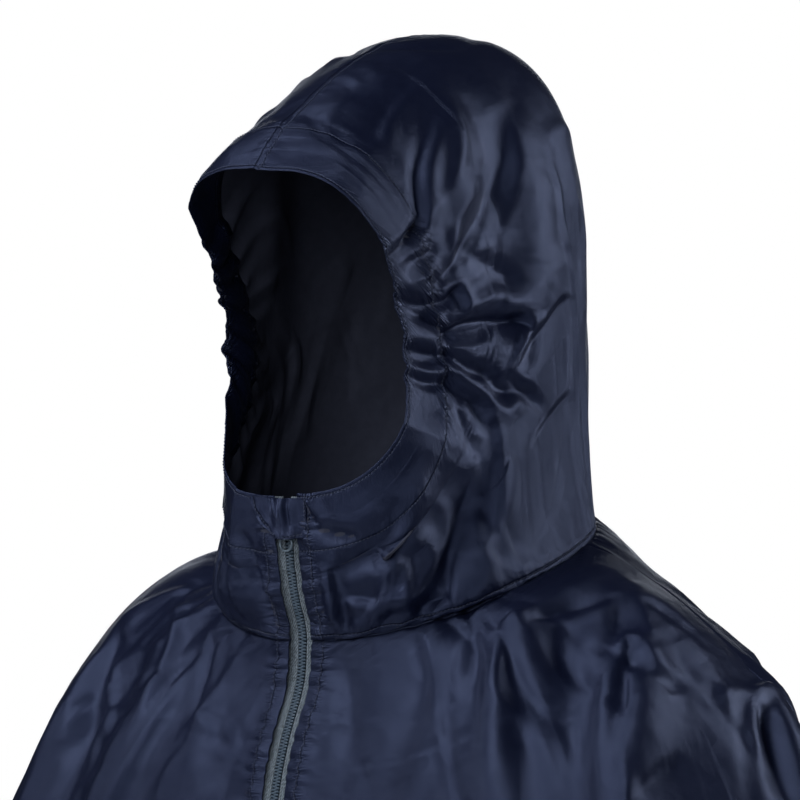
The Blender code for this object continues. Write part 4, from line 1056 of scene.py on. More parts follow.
def line_across(cloth, distance, wanted):
    """A line through all columns, at this value of a distance that changes steadily down them."""
    places = np.arange(0, cloth.u.shape[1] - 1, 0.5)
    found = [crossing(distance[:, int(round(place))], wanted) for place in places]
    return cloth.at(np.array(found), places)


def line_down(cloth, distance, wanted, first=0, last=None):
    """A line through all rows, at this value of a distance that changes steadily along them."""
    last = cloth.u.shape[0] - 1 if last is None else last
    places = np.arange(first, last, 0.5)
    found = [crossing(distance[int(round(place))], wanted) for place in places]
    return cloth.at(places, np.array(found))


def add_hood(side, settings):
    cloth = hood_cloth(side, settings)
    turned = {"top": CASING + TURN_PAST, "bottom": SEAM_TURN}
    if side == "left":
        turned |= {"first": HOOD_PLACKET_TURN, "last": SEAM_TURN}
    else:
        turned |= {"last": HOOD_PLACKET_TURN}
    piece = add_cloth(f"hood_{side}_cloth", with_turned_edges(cloth, **turned))
    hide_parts(f"hood_{side}")
    add_stitches(f"hood_{side}_stitches", cloth.lines)
    return piece


def side_seams(rows):
    """The share round the body of the wearer's left side seam, and of the slit's edge, on each row."""
    beside = shares_beside_zip(rows, [SLIT_HALF])
    return beside + SIDE_SEAM * (0.5 - beside), beside


def add_neck_gathers(cloth, from_neck, seed):
    cloth.lift += pillows(cloth.along, from_neck - 0.003, 0.0085, 0.0100, 0.0011, seed)


def add_hem(cloth, from_hem, seed):
    away = from_hem - HEM
    cloth.lift += stitch_groove(away, 0.0004) + puckers(cloth.along, away, 0.008, 0.008, 0.0004, seed)


def front_cloth(settings):
    rows = np.concatenate([NECK_ROWS, spread(0, 1, 178, (0.0, 0.12, 2.0), (0.20, 0.22, 2.8))])
    side_seam, beside = side_seams(rows)
    left = beside + spread(0, 1, 128, (0.0, 0.05, 1.6), (0.78, 0.26, 1.6))[None] * (side_seam - beside)
    right = -(beside + spread(0, 1, 104, (0.0, 0.05, 1.6), (0.60, 0.3, 1.4))[None] * (side_seam - beside))
    middle = beside * np.linspace(-1, 1, 9)[None, 1:-1]
    columns = np.concatenate([right[:, ::-1], middle, left], axis=1)
    creases = [wrapped_round(one) for one in list(CREASES.values()) + hidden_creases("front")]
    cloth = Cloth(columns, rows, creases, finest=0.0046)
    cloth.slit = slice(right.shape[1] - 1, right.shape[1] + middle.shape[1])
    cloth.slit_rows = int(np.searchsorted(rows, ZIP_END))
    neck_row = len(NECK_ROWS)
    from_neck = cloth.down - cloth.down[neck_row]
    from_hem = cloth.down[-1:] - cloth.down
    past_zip = cloth.along - cloth.along_at(0)
    from_slit = np.abs(past_zip) - SLIT_HALF
    beside_zip = cloth.w < ZIP_END
    cloth.lift += tuck_below(from_neck)
    add_neck_gathers(cloth, from_neck, 31)
    cloth.lift += np.where(beside_zip, stitch_groove(from_slit - PLACKET_STITCH, 0.0004), 0)
    cloth.lift += np.where(beside_zip, placket_gathers(cloth.down, from_slit, 0.0026, 32), 0)
    add_hem(cloth, from_hem, 33)
    cloth.lift += cloth_relief(cloth, 5, settings.crumple)
    above_tape(cloth, np.where(beside_zip, from_slit, 1))
    by_placket = np.where(cloth.w < ZIP_END + 0.01, from_slit - PLACKET_STITCH, FAR_FROM_SEAM)
    cloth.know_seams(from_hem - HEM, from_neck - 0.001, FAR_FROM_SEAM, by_placket)
    cloth.gathered = np.where(beside_zip, 0.6 * tight_beside(from_slit - PLACKET_STITCH, PLACKET_TIGHT), 0)
    cloth.settle()
    placket = SLIT_HALF + PLACKET_STITCH
    cloth.lines = [
        line_down(cloth, past_zip, placket, neck_row + 1, cloth.slit_rows),
        line_down(cloth, past_zip, -placket, neck_row + 1, cloth.slit_rows),
        line_across(cloth, from_hem, HEM),
    ]
    return cloth


def wrapped_round(one):
    """The same crease with u below zero at the wearer's right, as the front panel counts it."""
    if one.stations[0].u < 0.5:
        return one
    return one._replace(stations=tuple(at._replace(u=at.u - 1) for at in one.stations))


def add_front(settings):
    cloth = front_cloth(settings)
    rows, columns = cloth.u.shape
    left_out = np.zeros((rows - 1, columns - 1), bool)
    left_out[: cloth.slit_rows, cloth.slit] = True
    grids = with_turned_edges(cloth, bottom=HEM + TURN_PAST, first=SEAM_TURN, last=SEAM_TURN)
    above = slice(0, cloth.slit_rows + 1)
    left, right = cloth.slit.stop, cloth.slit.start
    beside_slit = {
        "first": slice(left, left + SLIT_COLUMNS),
        "last": slice(right + 1 - SLIT_COLUMNS, right + 1),
    }
    for side, strip in beside_slit.items():
        points, normals = cloth.sheet()[above, strip], cloth.normals[above, strip]
        grids.append(turned_edge(side, points, normals, FRONT_PLACKET_TURN))
    piece = add_cloth("front_cloth", grids, left_out)
    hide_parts("front_panel")
    add_stitches("front_stitches", cloth.lines)
    return piece


def add_back(settings):
    rows = np.concatenate([NECK_ROWS, spread(0, 1, 150, (0.0, 0.10, 1.8), (0.20, 0.20, 1.3))])
    side_seam = side_seams(rows)[0]
    first = side_seam - SEAM_LAP
    columns = first + np.linspace(0, 1, 200)[None] * (1 - 2 * first)
    cloth = Cloth(columns, rows, hidden_creases("back"), finest=0.006)
    from_neck = cloth.down - cloth.down[len(NECK_ROWS)]
    from_hem = cloth.down[-1:] - cloth.down
    from_left = cloth.along - cloth.along_at(side_seam[:, 0])
    from_right = cloth.along_at(1 - side_seam[:, 0]) - cloth.along
    tucks = [tuck_below(from_edge) for from_edge in (from_neck, from_left, from_right)]
    cloth.lift += np.minimum.reduce(np.broadcast_arrays(*tucks))
    add_neck_gathers(cloth, from_neck, 41)
    add_hem(cloth, from_hem, 43)
    cloth.lift += cloth_relief(cloth, 7, settings.crumple)
    cloth.know_seams(from_hem - HEM, from_neck - 0.001)
    cloth.settle()
    piece = add_cloth("back_cloth", with_turned_edges(cloth, bottom=HEM + TURN_PAST))
    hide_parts("back_panel")
    add_stitches("back_stitches", [line_across(cloth, from_hem, HEM)])
    return piece


def right_gathers():
    """The creases that the elastic draws across the hem of the right cheek and out over the hood."""
    chance = np.random.default_rng(61)
    made = []
    for place in np.linspace(0.672, 0.802, 12):
        place += chance.normal(0, 0.003)
        fan = (place - 0.737) * 0.55
        deep, long = 1.2 * chance.uniform(1.8, 4.2), chance.uniform(0.09, 0.30)
        rows = (
            (place, -1.02, 3, -1.8), (place + 0.1 * fan, -0.95, 3.5, -deep),
            (place + 0.5 * fan, -0.89, 4, -deep), (place + 1.2 * fan, -0.89 + long / 2, 5, -0.6 * deep),
            (place + 1.6 * fan, -0.89 + long, 6, 0),
        )
        made.append(crease(0.76, chance.uniform(-0.3, 0.3), *rows))
    return made


# For each piece: the seed, how many, their ranges of u and w, their slope, length, width and height.
CHANCE_CREASES = {
    "left": (
        (51, 34, (0.25, 0.50), (-0.86, -0.04), (0, 32), (40, 150), (5, 13), (0.5, 1.6)),
        (50, 34, (0.02, 0.20), (-0.60, -0.02), (10, 30), (40, 120), (5, 9), (0.8, 1.9)),
        (47, 14, (0.40, 0.50), (-0.97, -0.76), (0, 60), (25, 75), (5, 9), (0.5, 1.2)),
    ),
    "right": (
        (52, 70, (0.50, 0.97), (-0.80, -0.03), (0, 36), (24, 120), (4, 12), (0.6, 2.2)),
        (46, 10, (0.50, 0.60), (-0.97, -0.76), (0, 60), (25, 75), (5, 9), (0.5, 1.2)),
    ),
    "front": (
        (53, 40, (0.03, 0.28), (0.05, 0.95), (0, 9), (90, 320), (5, 14), (0.8, 2.6)),
        (54, 40, (0.74, 0.97), (0.05, 0.95), (0, 9), (90, 320), (5, 14), (0.8, 2.6)),
        (55, 34, (0.80, 0.975), (0.01, 0.34), (-12, 14), (60, 190), (6, 12), (0.9, 2.4)),
        (56, 12, (0.03, 0.24), (0.06, 0.40), (8, 10), (80, 200), (6, 12), (0.6, 1.3)),
    ),
    "back": (
        (57, 80, (0.27, 0.73), (0.06, 0.95), (0, 16), (60, 260), (6, 16), (1.0, 3.4)),
        (58, 50, (0.28, 0.72), (0.02, 0.24), (0, 45), (20, 80), (4, 10), (0.5, 1.8)),
    ),
}


def hidden_creases(part):
    """Creases where the cloth hangs freely or doesn't show, alike on all sides."""
    made = right_gathers() if part == "right" else []
    for row in CHANCE_CREASES[part]:
        made += chance_creases(*row)
    return made


# ------------ The zip and its guard ------------

ZIP_W = np.linspace(-1, ZIP_END, 401)
TEETH_START = PULL_DROP - SLIDER_MIDDLE + SLIDER_LENGTH / 2 + 0.0012  # down from the face edge
TEETH_SHORT = 0.0050  # and the last, above the zip's end
TOOTH_EDGE = 0.00016  # the bevel of its moulded edges
TAPE_THICKNESS = 0.0007


@functools.cache
def zip_line():
    """The cloth's own line down the zip: its points, its outward normals and the length walked to each."""
    cloth = Cloth(np.broadcast_to([-0.001, 0.0, 0.001], (len(ZIP_W), 3)), ZIP_W)
    points = cloth.points[:, 1]
    walked = np.concatenate([[0], np.cumsum(np.linalg.norm(np.diff(points, axis=0), axis=1))])
    return points, cloth.normals[:, 1], walked


def down_zip(drop):
    """The w of the point this far down the zip from the face edge."""
    return np.interp(drop, zip_line()[2], ZIP_W)


def add_tape(side):
    """One tape of the zip, a little fuller than its seam, so that it waves between the stitches."""
    rows = np.linspace(-1, ZIP_END, 420)
    distances = np.linspace(TAPE_INNER, PLACKET_HALF, 12)
    left = shares_beside_zip(rows, distances)
    cloth = Cloth(left if side == "left" else -left[:, ::-1], rows, out=TAPE_OUT)
    away = np.broadcast_to(distances if side == "left" else distances[::-1], cloth.u.shape)
    cloth.lift += puckers(cloth.down, away - 0.012, 0.0068, 0.006, 0.0002, 71)
    cloth.settle()
    piece = add_piece(f"tape_{side}", grid_mesh(f"tape_{side}", [cloth.points]), "zip_tape", tape_cloth())
    thicken(piece, TAPE_THICKNESS)
    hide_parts(f"zip_tape_{side}")
    return piece


TOOTH_PLAN = (  # the outline of a tooth, with its root at +X, in millimetres
    (2.8, -0.66), (1.1, -0.66), (0.7, -0.42), (0.3, -0.50), (-0.5, -0.50), (-0.8, -0.34),
    (-0.8, 0.34), (-0.5, 0.50), (0.3, 0.50), (0.7, 0.42), (1.1, 0.66), (2.8, 0.66),
)


def tooth_mesh(wall):
    """One moulded tooth, seen from in front: its root at +X, its head at -X, in metres."""
    shape = bmesh.new()
    face = shape.faces.new([shape.verts.new((x / 1000, y / 1000, wall / 2)) for x, y in TOOTH_PLAN])
    deep = bmesh.ops.extrude_face_region(shape, geom=[face])
    moved = [item for item in deep["geom"] if isinstance(item, bmesh.types.BMVert)]
    bmesh.ops.translate(shape, verts=moved, vec=(0, 0, -wall))
    bmesh.ops.recalc_face_normals(shape, faces=shape.faces)
    outline = [edge for edge in shape.edges if abs(edge.verts[0].co.z - edge.verts[1].co.z) < 1e-9]
    bmesh.ops.bevel(shape, geom=outline, offset=TOOTH_EDGE, segments=1, profile=0.6, affect="EDGES")
    points = np.array([point.co for point in shape.verts])
    index = {point: number for number, point in enumerate(shape.verts)}
    faces = [tuple(index[point] for point in each.verts) for each in shape.faces]
    shape.free()
    return points, faces


def add_teeth(settings):
    """The moulded teeth of the closed zip, one row from each tape, meeting in turn."""
    line, normals, walked = zip_line()
    shape, faces = tooth_mesh(settings.teeth_wall)
    teeth = []
    for side, shift in ((1, 0.0), (-1, settings.teeth_pitch / 2)):
        drops = np.arange(TEETH_START + shift, walked[-1] - TEETH_SHORT, settings.teeth_pitch)
        turned = [each[::side] for each in faces]
        for middle, out in zip(along_line(drops, walked, line), unit(along_line(drops, walked, normals))):
            left = np.array([1.0, 0, 0])
            ways = np.stack([left, np.cross(out, left), out])
            teeth.append((middle + TEETH_MIDDLE_OUT * out + shape * (side, 1, 1) @ ways, turned))
    points, quads = joined(teeth)
    mesh = bpy.data.meshes.new("teeth")
    mesh.from_pydata(points, [], quads)
    mesh.shade_smooth()
    mesh.set_sharp_from_angle(angle=math.radians(50))
    piece = add_piece("teeth", mesh, "zip_teeth", moulded_teeth())
    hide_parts("zip_teeth")
    return piece


GUARD_STITCH = 0.0026  # from its free edge
GUARD_THICKNESS = 0.0008
GUARD_LIP = 0.0024  # how far its free edge stands off
GUARD_FOLDS = (  # start and end, each across and down from the top of the zip, half width, and height
    ((-0.0120, 0.0010), (-0.0080, 0.0110), 0.0015, -0.0022),
    ((-0.0075, 0.0000), (-0.0045, 0.0130), 0.0020, 0.0020),
    ((-0.0040, 0.0005), (-0.0005, 0.0120), 0.0014, -0.0021),
    ((0.0000, 0.0000), (0.0030, 0.0250), 0.0016, 0.0013),
    ((0.0035, 0.0000), (0.0065, 0.0262), 0.0013, -0.0022),
    ((-0.0200, 0.0120), (-0.0080, 0.0230), 0.0017, -0.0015),
)


def add_guard(settings):
    """The flap over the top of the zip: sewn at the wearer's left, free and rounded at the right."""
    top_drop, top_bulge = GUARD_TOP
    drop = np.linspace(top_drop, GUARD_FOOT * GUARD_HEIGHT, 56)
    free_side = SLIT_HALF - GUARD_WIDTH * np.sqrt(1 - (drop / GUARD_HEIGHT) ** 2)
    beside = free_side[:, None] + np.linspace(0, 1, 72) * (GUARD_SEAM - free_side[:, None])
    w = down_zip(drop)
    cloth = Cloth(beside * shares_beside_zip(w, [1.0]), w)
    over_slider = np.cos(np.clip(beside / GUARD_BULGE_HALF, -1, 1) * math.pi / 2) ** GUARD_BULGE_POWER
    near_slider = ease(top_bulge + drop / (PULL_DROP - SLIDER_LENGTH))
    from_foot = cloth.down[-1:] - cloth.down
    from_free = np.minimum(cloth.along, from_foot)
    from_sewn = GUARD_SEAM - beside
    hold = tight_beside(from_sewn - 0.001, 0.007)
    cloth.lift += (GUARD_REST + CLOTH_WALL) * (1 - 0.55 * hold)
    cloth.lift += GUARD_LIP * tight_beside(from_free, 0.012) * (1 - hold)
    cloth.lift += GUARD_BULGE * over_slider * near_slider[:, None] * (1 - 0.8 * hold)
    cloth.lift += stitch_groove(from_free - GUARD_STITCH, 0.0006, 0.0008)
    cloth.lift += 0.0005 * tight_beside(from_free - GUARD_STITCH, 0.0010)
    for start, end, half, height in GUARD_FOLDS:
        cloth.lift += fold_between(beside, drop[:, None] + 0 * beside, start, end, half, height)
    cloth.lift += puckers(cloth.down, from_free - GUARD_STITCH, 0.0042, 0.0030, 0.0004, 82)
    cloth.lift += cloth_relief(cloth, 9, settings.crumple)
    cloth.know_seams(from_free - GUARD_STITCH, FAR_FROM_SEAM, FAR_FROM_SEAM, from_sewn - 0.0010)
    cloth.settle()
    mesh = grid_mesh("guard_cloth", [cloth.sheet()])
    piece = add_piece("guard_cloth", mesh, "nylon", nylon_outside(), nylon_inside())
    thicken(piece, GUARD_THICKNESS)
    bevel = piece.modifiers.new("rolled edge", "BEVEL")
    bevel.width = 0.0004
    bevel.segments = 3
    bevel.limit_method = "ANGLE"
    bevel.angle_limit = math.radians(50)
    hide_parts("chin_guard")
    free = line_down(cloth, cloth.along, GUARD_STITCH, 4, 50)
    foot = line_across(cloth, from_foot, GUARD_STITCH)
    sewn = line_down(cloth, cloth.along[:, -1:] - cloth.along, 0.0010)
    add_stitches("guard_stitches", [free, [part[6:] for part in foot], sewn])
    return piece


# ------------ Finishes ------------


WAVE_LENGTH = 0.314  # metres from band to band of a wave texture at a scale of 1


def tinted(colour, share):
    return tuple(share * c for c in colour)


class Finish:
    """A node material with its shader, and short ways to add and join its nodes."""

    def __init__(self, name):
        self.material = bpy.data.materials.new(name)
        self.material.use_nodes = True
        self.tree = self.material.node_tree
        self.shader = self.tree.nodes["Principled BSDF"]

    def node(self, kind, **settings):
        made = self.tree.nodes.new(f"ShaderNode{kind}")
        for name, value in settings.items():
            setattr(made, name, value)
        return made

    def join(self, output, socket):
        self.tree.links.new(output, socket)

    def feed(self, name, output):
        self.join(output, self.shader.inputs[name])

    def place(self, kind):
        """Object, in metres from the origin, or UV, in metres over the cloth."""
        return self.node("TexCoord").outputs[kind]

    def set(self, **values):
        for name, value in values.items():
            self.shader.inputs[name.replace("_", " ")].default_value = value

    def noise(self, place, scale, detail=3.0, seed=0.0):
        made = self.node("TexNoise", noise_dimensions="4D")
        made.inputs["Scale"].default_value = scale
        made.inputs["Detail"].default_value = detail
        made.inputs["W"].default_value = seed
        self.join(place, made.inputs["Vector"])
        return made.outputs["Fac"]

    def ramp(self, value, *stops):
        made = self.node("ValToRGB")
        ramp = made.color_ramp
        while len(ramp.elements) < len(stops):
            ramp.elements.new(0.5)
        for element, (at, colour) in zip(ramp.elements, stops):
            element.position = at
            element.color = (*colour, 1.0)
        self.join(value, made.inputs["Fac"])
        return made.outputs["Color"]

    def mixed(self, share, first, second, blend="MIX"):
        made = self.node("Mix", data_type="RGBA", blend_type=blend)
        for socket, value in ((made.inputs[0], share), (made.inputs[6], first), (made.inputs[7], second)):
            if isinstance(value, bpy.types.NodeSocket):
                self.join(value, socket)
            else:
                socket.default_value = (*value, 1.0) if hasattr(value, "__len__") else value
        return made.outputs[2]

    def sum_of(self, *parts):
        """Heights added up, each with its own share."""
        total = 0.0
        for value, share in parts:
            total = self.math("MULTIPLY_ADD", value, share, total)
        return total

    def bump(self, height, strength, distance):
        made = self.node("Bump")
        made.inputs["Strength"].default_value = strength
        made.inputs["Distance"].default_value = distance
        self.join(height, made.inputs["Height"])
        self.feed("Normal", made.outputs["Normal"])

    def ridges(self, place, size, half, seed):
        """Keen winding ridges between flat facets of about this size in metres."""
        stops = ((0.5 - half, (0, 0, 0)), (0.5, (1, 1, 1)), (0.5 + half, (0, 0, 0)))
        return self.ramp(self.noise(place, 1 / size, 2.0, seed), *stops)

    def threads(self, place, pitch, turn="X"):
        """Threads of a weave that run one way, this far apart."""
        made = self.node("TexWave", wave_type="BANDS", bands_direction=turn, wave_profile="SIN")
        made.inputs["Scale"].default_value = WAVE_LENGTH / pitch
        self.join(place, made.inputs["Vector"])
        return made.outputs["Fac"]

    def known(self, name):
        """The three parts of what the cloth's mesh knows under this name."""
        apart = self.node("SeparateXYZ")
        self.join(self.node("Attribute", attribute_name=name).outputs["Vector"], apart.inputs[0])
        return apart.outputs[:]

    def math(self, operation, *values):
        made = self.node("Math", operation=operation)
        for socket, value in zip(made.inputs, values):
            if isinstance(value, bpy.types.NodeSocket):
                self.join(value, socket)
            else:
                socket.default_value = value
        return made.outputs[0]

    def nearest(self, ways):
        """The way to the nearest of some seams, whichever side of it."""
        found = None
        for way in ways:
            way = self.math("ABSOLUTE", way)
            found = way if found is None else self.math("MINIMUM", found, way)
        return found

    def beside(self, way, reach):
        """From 1 on a seam to 0 this far from it."""
        share = self.math("DIVIDE", way, reach)
        left = self.math("MAXIMUM", self.math("SUBTRACT", 1.0, share), 0.0)
        return self.math("MULTIPLY", left, left)

    def drawn(self, over, down, fine, long, seed):
        """Small creases by chance across a seam, this fine along it and this long across it."""
        place = self.node("CombineXYZ")
        self.join(self.math("DIVIDE", over, fine), place.inputs[0])
        self.join(self.math("DIVIDE", down, long), place.inputs[1])
        wave = self.noise(place.outputs[0], 1.0, 2.0, seed)
        stops = (0.30, (0.0,) * 3), (0.46, (1.0,) * 3), (0.54, (0.35,) * 3), (0.70, (0.9,) * 3)
        return self.ramp(wave, *stops)


@functools.cache
def nylon_outside():
    """Navy taffeta with a soft satin gloss: fine threads both ways, the crackle of a light coating, and
    painted shade that darkens the grooves of the seams and stitch lines.
    """
    settings = bpy.context.scene.poncho_cloth
    base = settings.colour
    finish = Finish("nylon_outside")
    round_about = finish.place("Object")
    flat = finish.place("UV")
    broad = finish.noise(round_about, 9.0, 4.0)
    small = finish.noise(round_about, 140.0, 5.0)
    over, down, gathered = finish.known("cloth_ways")
    round_seam = finish.nearest(finish.known("seams_round"))
    down_seam = finish.nearest(finish.known("seams_down")[:2])
    groove_and_painted_shade = finish.beside(finish.math("MINIMUM", round_seam, down_seam), 0.0012)
    shade = finish.ramp(broad, (0.30, tinted(base, 0.88)), (0.70, tinted(base, 1.12)))
    # Painted shade: along the seams and stitch lines the base colour falls to a third of the navy, standing
    # in for the shade in their grooves. The same mask also sinks the bump there.
    finish.feed("Base Color", finish.mixed(groove_and_painted_shade, shade, tinted(base, 0.35)))
    tight = finish.math("MULTIPLY_ADD", gathered, 1.3, 0.28)
    round_drawn = finish.drawn(over, down, 0.0042, 0.016, 3.0)
    down_drawn = finish.drawn(down, over, 0.0042, 0.014, 4.0)
    round_drawn = finish.math("MULTIPLY", finish.beside(round_seam, 0.014), round_drawn)
    down_drawn = finish.math("MULTIPLY", finish.beside(down_seam, 0.011), down_drawn)
    drawn = finish.math("MULTIPLY", tight, finish.math("ADD", round_drawn, down_drawn))
    dull = (0.25, (settings.roughness - 0.04,) * 3), (0.75, (settings.roughness + 0.04,) * 3)
    finish.feed("Roughness", finish.ramp(small, *dull))
    finish.set(Specular_IOR_Level=1.0, Specular_Tint=(*settings.gloss_colour, 1.0))
    height = finish.sum_of(
        (finish.threads(flat, settings.thread_pitch, "X"), 0.028),
        (finish.threads(flat, settings.thread_pitch, "Y"), 0.028),
        (finish.noise(round_about, 420.0, 4.0), 0.06),
        (small, 0.05),
        (finish.ridges(round_about, 0.060, 0.10, 1.0), 0.30),
        (finish.ridges(round_about, 0.034, 0.11, 2.0), -0.12),
        (groove_and_painted_shade, -0.45),
        (drawn, 1.0),
    )
    finish.bump(height, 1.0, 0.001)
    return finish.material


@functools.cache
def nylon_inside():
    """The coated back of the same cloth: darker, and duller."""
    settings = bpy.context.scene.poncho_cloth
    finish = Finish("nylon_inside")
    round_about = finish.place("Object")
    small = finish.noise(round_about, 160.0, 4.0)
    coat = settings.inside_colour
    finish.feed("Base Color", finish.ramp(small, (0.3, tinted(coat, 0.85)), (0.7, coat)))
    finish.set(Roughness=0.8, Specular_IOR_Level=0.2)
    finish.bump(small, 0.25, 0.0006)
    return finish.material


@functools.cache
def thread():
    """Spun polyester sewing thread, a little lighter than the cloth."""
    settings = bpy.context.scene.poncho_cloth
    finish = Finish("thread")
    ply = finish.noise(finish.place("Object"), 2600.0, 2.0)
    light = settings.thread_colour
    finish.feed("Base Color", finish.ramp(ply, (0.35, tinted(light, 0.6)), (0.7, light)))
    finish.set(Roughness=0.65, Sheen_Weight=0.3, Sheen_Roughness=0.5)
    finish.bump(ply, 0.4, 0.0002)
    return finish.material


@functools.cache
def tape_cloth():
    """The zip's tape: a coarse grey-green twill of thick yarns."""
    settings = bpy.context.scene.poncho_zip
    finish = Finish("tape_twill")
    flat = finish.place("UV")
    slant = finish.node("Mapping")
    slant.inputs["Rotation"].default_value = (0, 0, math.radians(38))
    finish.join(flat, slant.inputs["Vector"])
    twill = finish.threads(slant.outputs["Vector"], 0.0015, "X")
    yarn = finish.threads(flat, 0.0016, "X")
    speck = finish.noise(finish.place("Object"), 800.0, 2.0)
    pattern = finish.sum_of((twill, 0.18), (yarn, 0.12), (speck, 0.9))
    base = settings.tape_colour
    shade = finish.ramp(pattern, (0.50, tinted(base, 0.45)), (0.62, base), (0.76, tinted(base, 1.6)))
    finish.feed("Base Color", shade)
    finish.set(Roughness=0.8, Sheen_Weight=0.25)
    finish.bump(pattern, 0.8, 0.0006)
    return finish.material


@functools.cache
def moulded_teeth():
    """Moulded acetal teeth, with a faint cloudiness and small flow marks."""
    settings = bpy.context.scene.poncho_zip
    finish = Finish("moulded_teeth")
    cloud = finish.noise(finish.place("Object"), 700.0, 3.0)
    base = settings.teeth_colour
    finish.feed("Base Color", finish.ramp(cloud, (0.3, tinted(base, 0.8)), (0.7, base)))
    finish.set(Roughness=0.32, Specular_IOR_Level=0.5)
    finish.bump(cloud, 0.2, 0.0002)
    return finish.material


@functools.cache
def enamelled_metal():
    """Die-cast zinc under a thin slate enamel, rubbed a little brighter on its edges."""
    settings = bpy.context.scene.poncho_zip
    finish = Finish("enamelled_metal")
    cast = finish.noise(finish.place("Object"), 900.0, 4.0)
    edges = finish.node("NewGeometry").outputs["Pointiness"]
    worn = finish.ramp(edges, (0.50, (0, 0, 0)), (0.58, (1, 1, 1)))
    base = settings.metal_colour
    bright = tuple(min(1, 2.2 * c) for c in base)
    painted = finish.ramp(cast, (0.3, tinted(base, 0.85)), (0.7, base))
    finish.feed("Base Color", finish.mixed(worn, painted, bright))
    finish.feed("Roughness", finish.ramp(cast, (0.3, (0.30,) * 3), (0.7, (0.40,) * 3)))
    finish.set(Metallic=0.55, Coat_Weight=0.35, Coat_Roughness=0.25)
    finish.bump(cast, 0.15, 0.0002)
    return finish.material


@functools.cache
def floor_paper():
    finish = Finish("floor_paper")
    grain = finish.noise(finish.place("Object"), 300.0, 3.0)
    finish.feed("Base Color", finish.ramp(grain, (0.3, (0.90,) * 3), (0.7, (0.93,) * 3)))
    finish.set(Roughness=0.9)
    finish.bump(grain, 0.05, 0.0005)
    return finish.material


def recoat(node, material):
    """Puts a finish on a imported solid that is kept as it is."""
    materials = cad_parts[node].data.materials
    materials.clear()
    materials.append(material)


METAL_NODES = ("zip_slider", "zip_pull", "zip_top_stop_left", "zip_top_stop_right", "zip_bottom_stop")


# ------------ Settings ------------


def colour_setting(name, description, default):
    return bpy.props.FloatVectorProperty(
        name=name, description=description, default=default, subtype="COLOR", size=3, min=0, max=1
    )


def length_setting(name, description, default):
    return bpy.props.FloatProperty(
        name=name, description=description, default=default, unit="LENGTH", precision=5
    )


class PonchoClothSettings(bpy.types.PropertyGroup):
    colour: colour_setting("Colour", "Colour of the nylon", (0.0075, 0.0104, 0.0320))
    gloss_colour: colour_setting("Gloss colour", "Tint of the satin gloss", (0.50, 0.60, 1.0))
    thread_colour: colour_setting("Thread colour", "Colour of the sewing thread", (0.070, 0.090, 0.180))
    inside_colour: colour_setting(
        "Inside colour", "Colour of the coated back of the nylon", (0.090, 0.095, 0.135)
    )
    roughness: bpy.props.FloatProperty(
        name="Roughness", description="How dull the nylon is", default=0.37, min=0.1, max=1,
        subtype="FACTOR",
    )
    thread_pitch: length_setting("Thread pitch", "From one thread of the weave to the next", 0.00036)
    crumple: length_setting("Crumple", "Height of the soft crumpling of the cloth", 0.0006)


class PonchoZipSettings(bpy.types.PropertyGroup):
    tape_colour: colour_setting("Tape colour", "Colour of the zip's tapes", (0.200, 0.235, 0.260))
    teeth_colour: colour_setting("Teeth colour", "Colour of the zip's teeth", (0.130, 0.180, 0.230))
    metal_colour: colour_setting("Metal colour", "Colour of the slider and its ring", (0.160, 0.200, 0.230))
    teeth_pitch: length_setting("Teeth pitch", "From one tooth to the next on the same tape", 0.0021)
    teeth_wall: length_setting("Teeth wall", "Thickness of a tooth, from front to back", 0.0024)


class PonchoStageSettings(bpy.types.PropertyGroup):
    azimuth: bpy.props.FloatProperty(
        name="Azimuth", description="Camera angle round the wearer, from straight in front to their left",
        default=math.radians(38), unit="ROTATION",
    )
    distance: length_setting("Distance", "From the camera to the garment", 4.5)
    view_width: length_setting("View width", "Width of what the camera sees at the garment", 0.512)
    view_height: length_setting("View height", "Height of the view's middle over the neck seam", 0.1216)
    view_left: length_setting("View left", "How far the view's middle lies to the left", 0.0064)
    key_power: bpy.props.FloatProperty(
        name="Key light", description="Power of the large light by the camera", default=18.0, unit="POWER"
    )


# ------------ Operators ------------


class PONCHO_OT_add_hood(bpy.types.Operator):
    """Add both halves of the hood with their hems, gathers and stitches"""

    bl_idname = "poncho.add_hood"
    bl_label = "Add Hood"

    def execute(self, context):
        for side in ("left", "right"):
            piece = add_hood(side, context.scene.poncho_cloth)
        return {"FINISHED"}


class PONCHO_OT_add_front(bpy.types.Operator):
    """Add the front panel with its slit, hem and stitches"""

    bl_idname = "poncho.add_front"
    bl_label = "Add Front"

    def execute(self, context):
        piece = add_front(context.scene.poncho_cloth)
        return {"FINISHED"}


class PONCHO_OT_add_back(bpy.types.Operator):
    """Add the back panel with its hem and stitches"""

    bl_idname = "poncho.add_back"
    bl_label = "Add Back"

    def execute(self, context):
        piece = add_back(context.scene.poncho_cloth)
        return {"FINISHED"}


class PONCHO_OT_add_zip(bpy.types.Operator):
    """Add the zip's tapes and teeth, and finish its slider, ring and stops"""

    bl_idname = "poncho.add_zip"
    bl_label = "Add Zip"

    def execute(self, context):
        settings = context.scene.poncho_zip
        for side in ("left", "right"):
            piece = add_tape(side)
        add_teeth(settings)
        for node in METAL_NODES:
            recoat(node, enamelled_metal())
        return {"FINISHED"}


class PONCHO_OT_add_guard(bpy.types.Operator):
    """Add the flap that covers the top of the zip"""

    bl_idname = "poncho.add_guard"
    bl_label = "Add Chin Guard"

    def execute(self, context):
        piece = add_guard(context.scene.poncho_cloth)
        return {"FINISHED"}


def placed(thing, place, facing):
    """Puts a camera or a light in its place, turned the way that it faces."""
    thing.location = place
    thing.rotation_mode = "QUATERNION"
    thing.rotation_quaternion = facing.to_track_quat("-Z", "Y")
    bpy.context.scene.collection.objects.link(thing)
    return thing


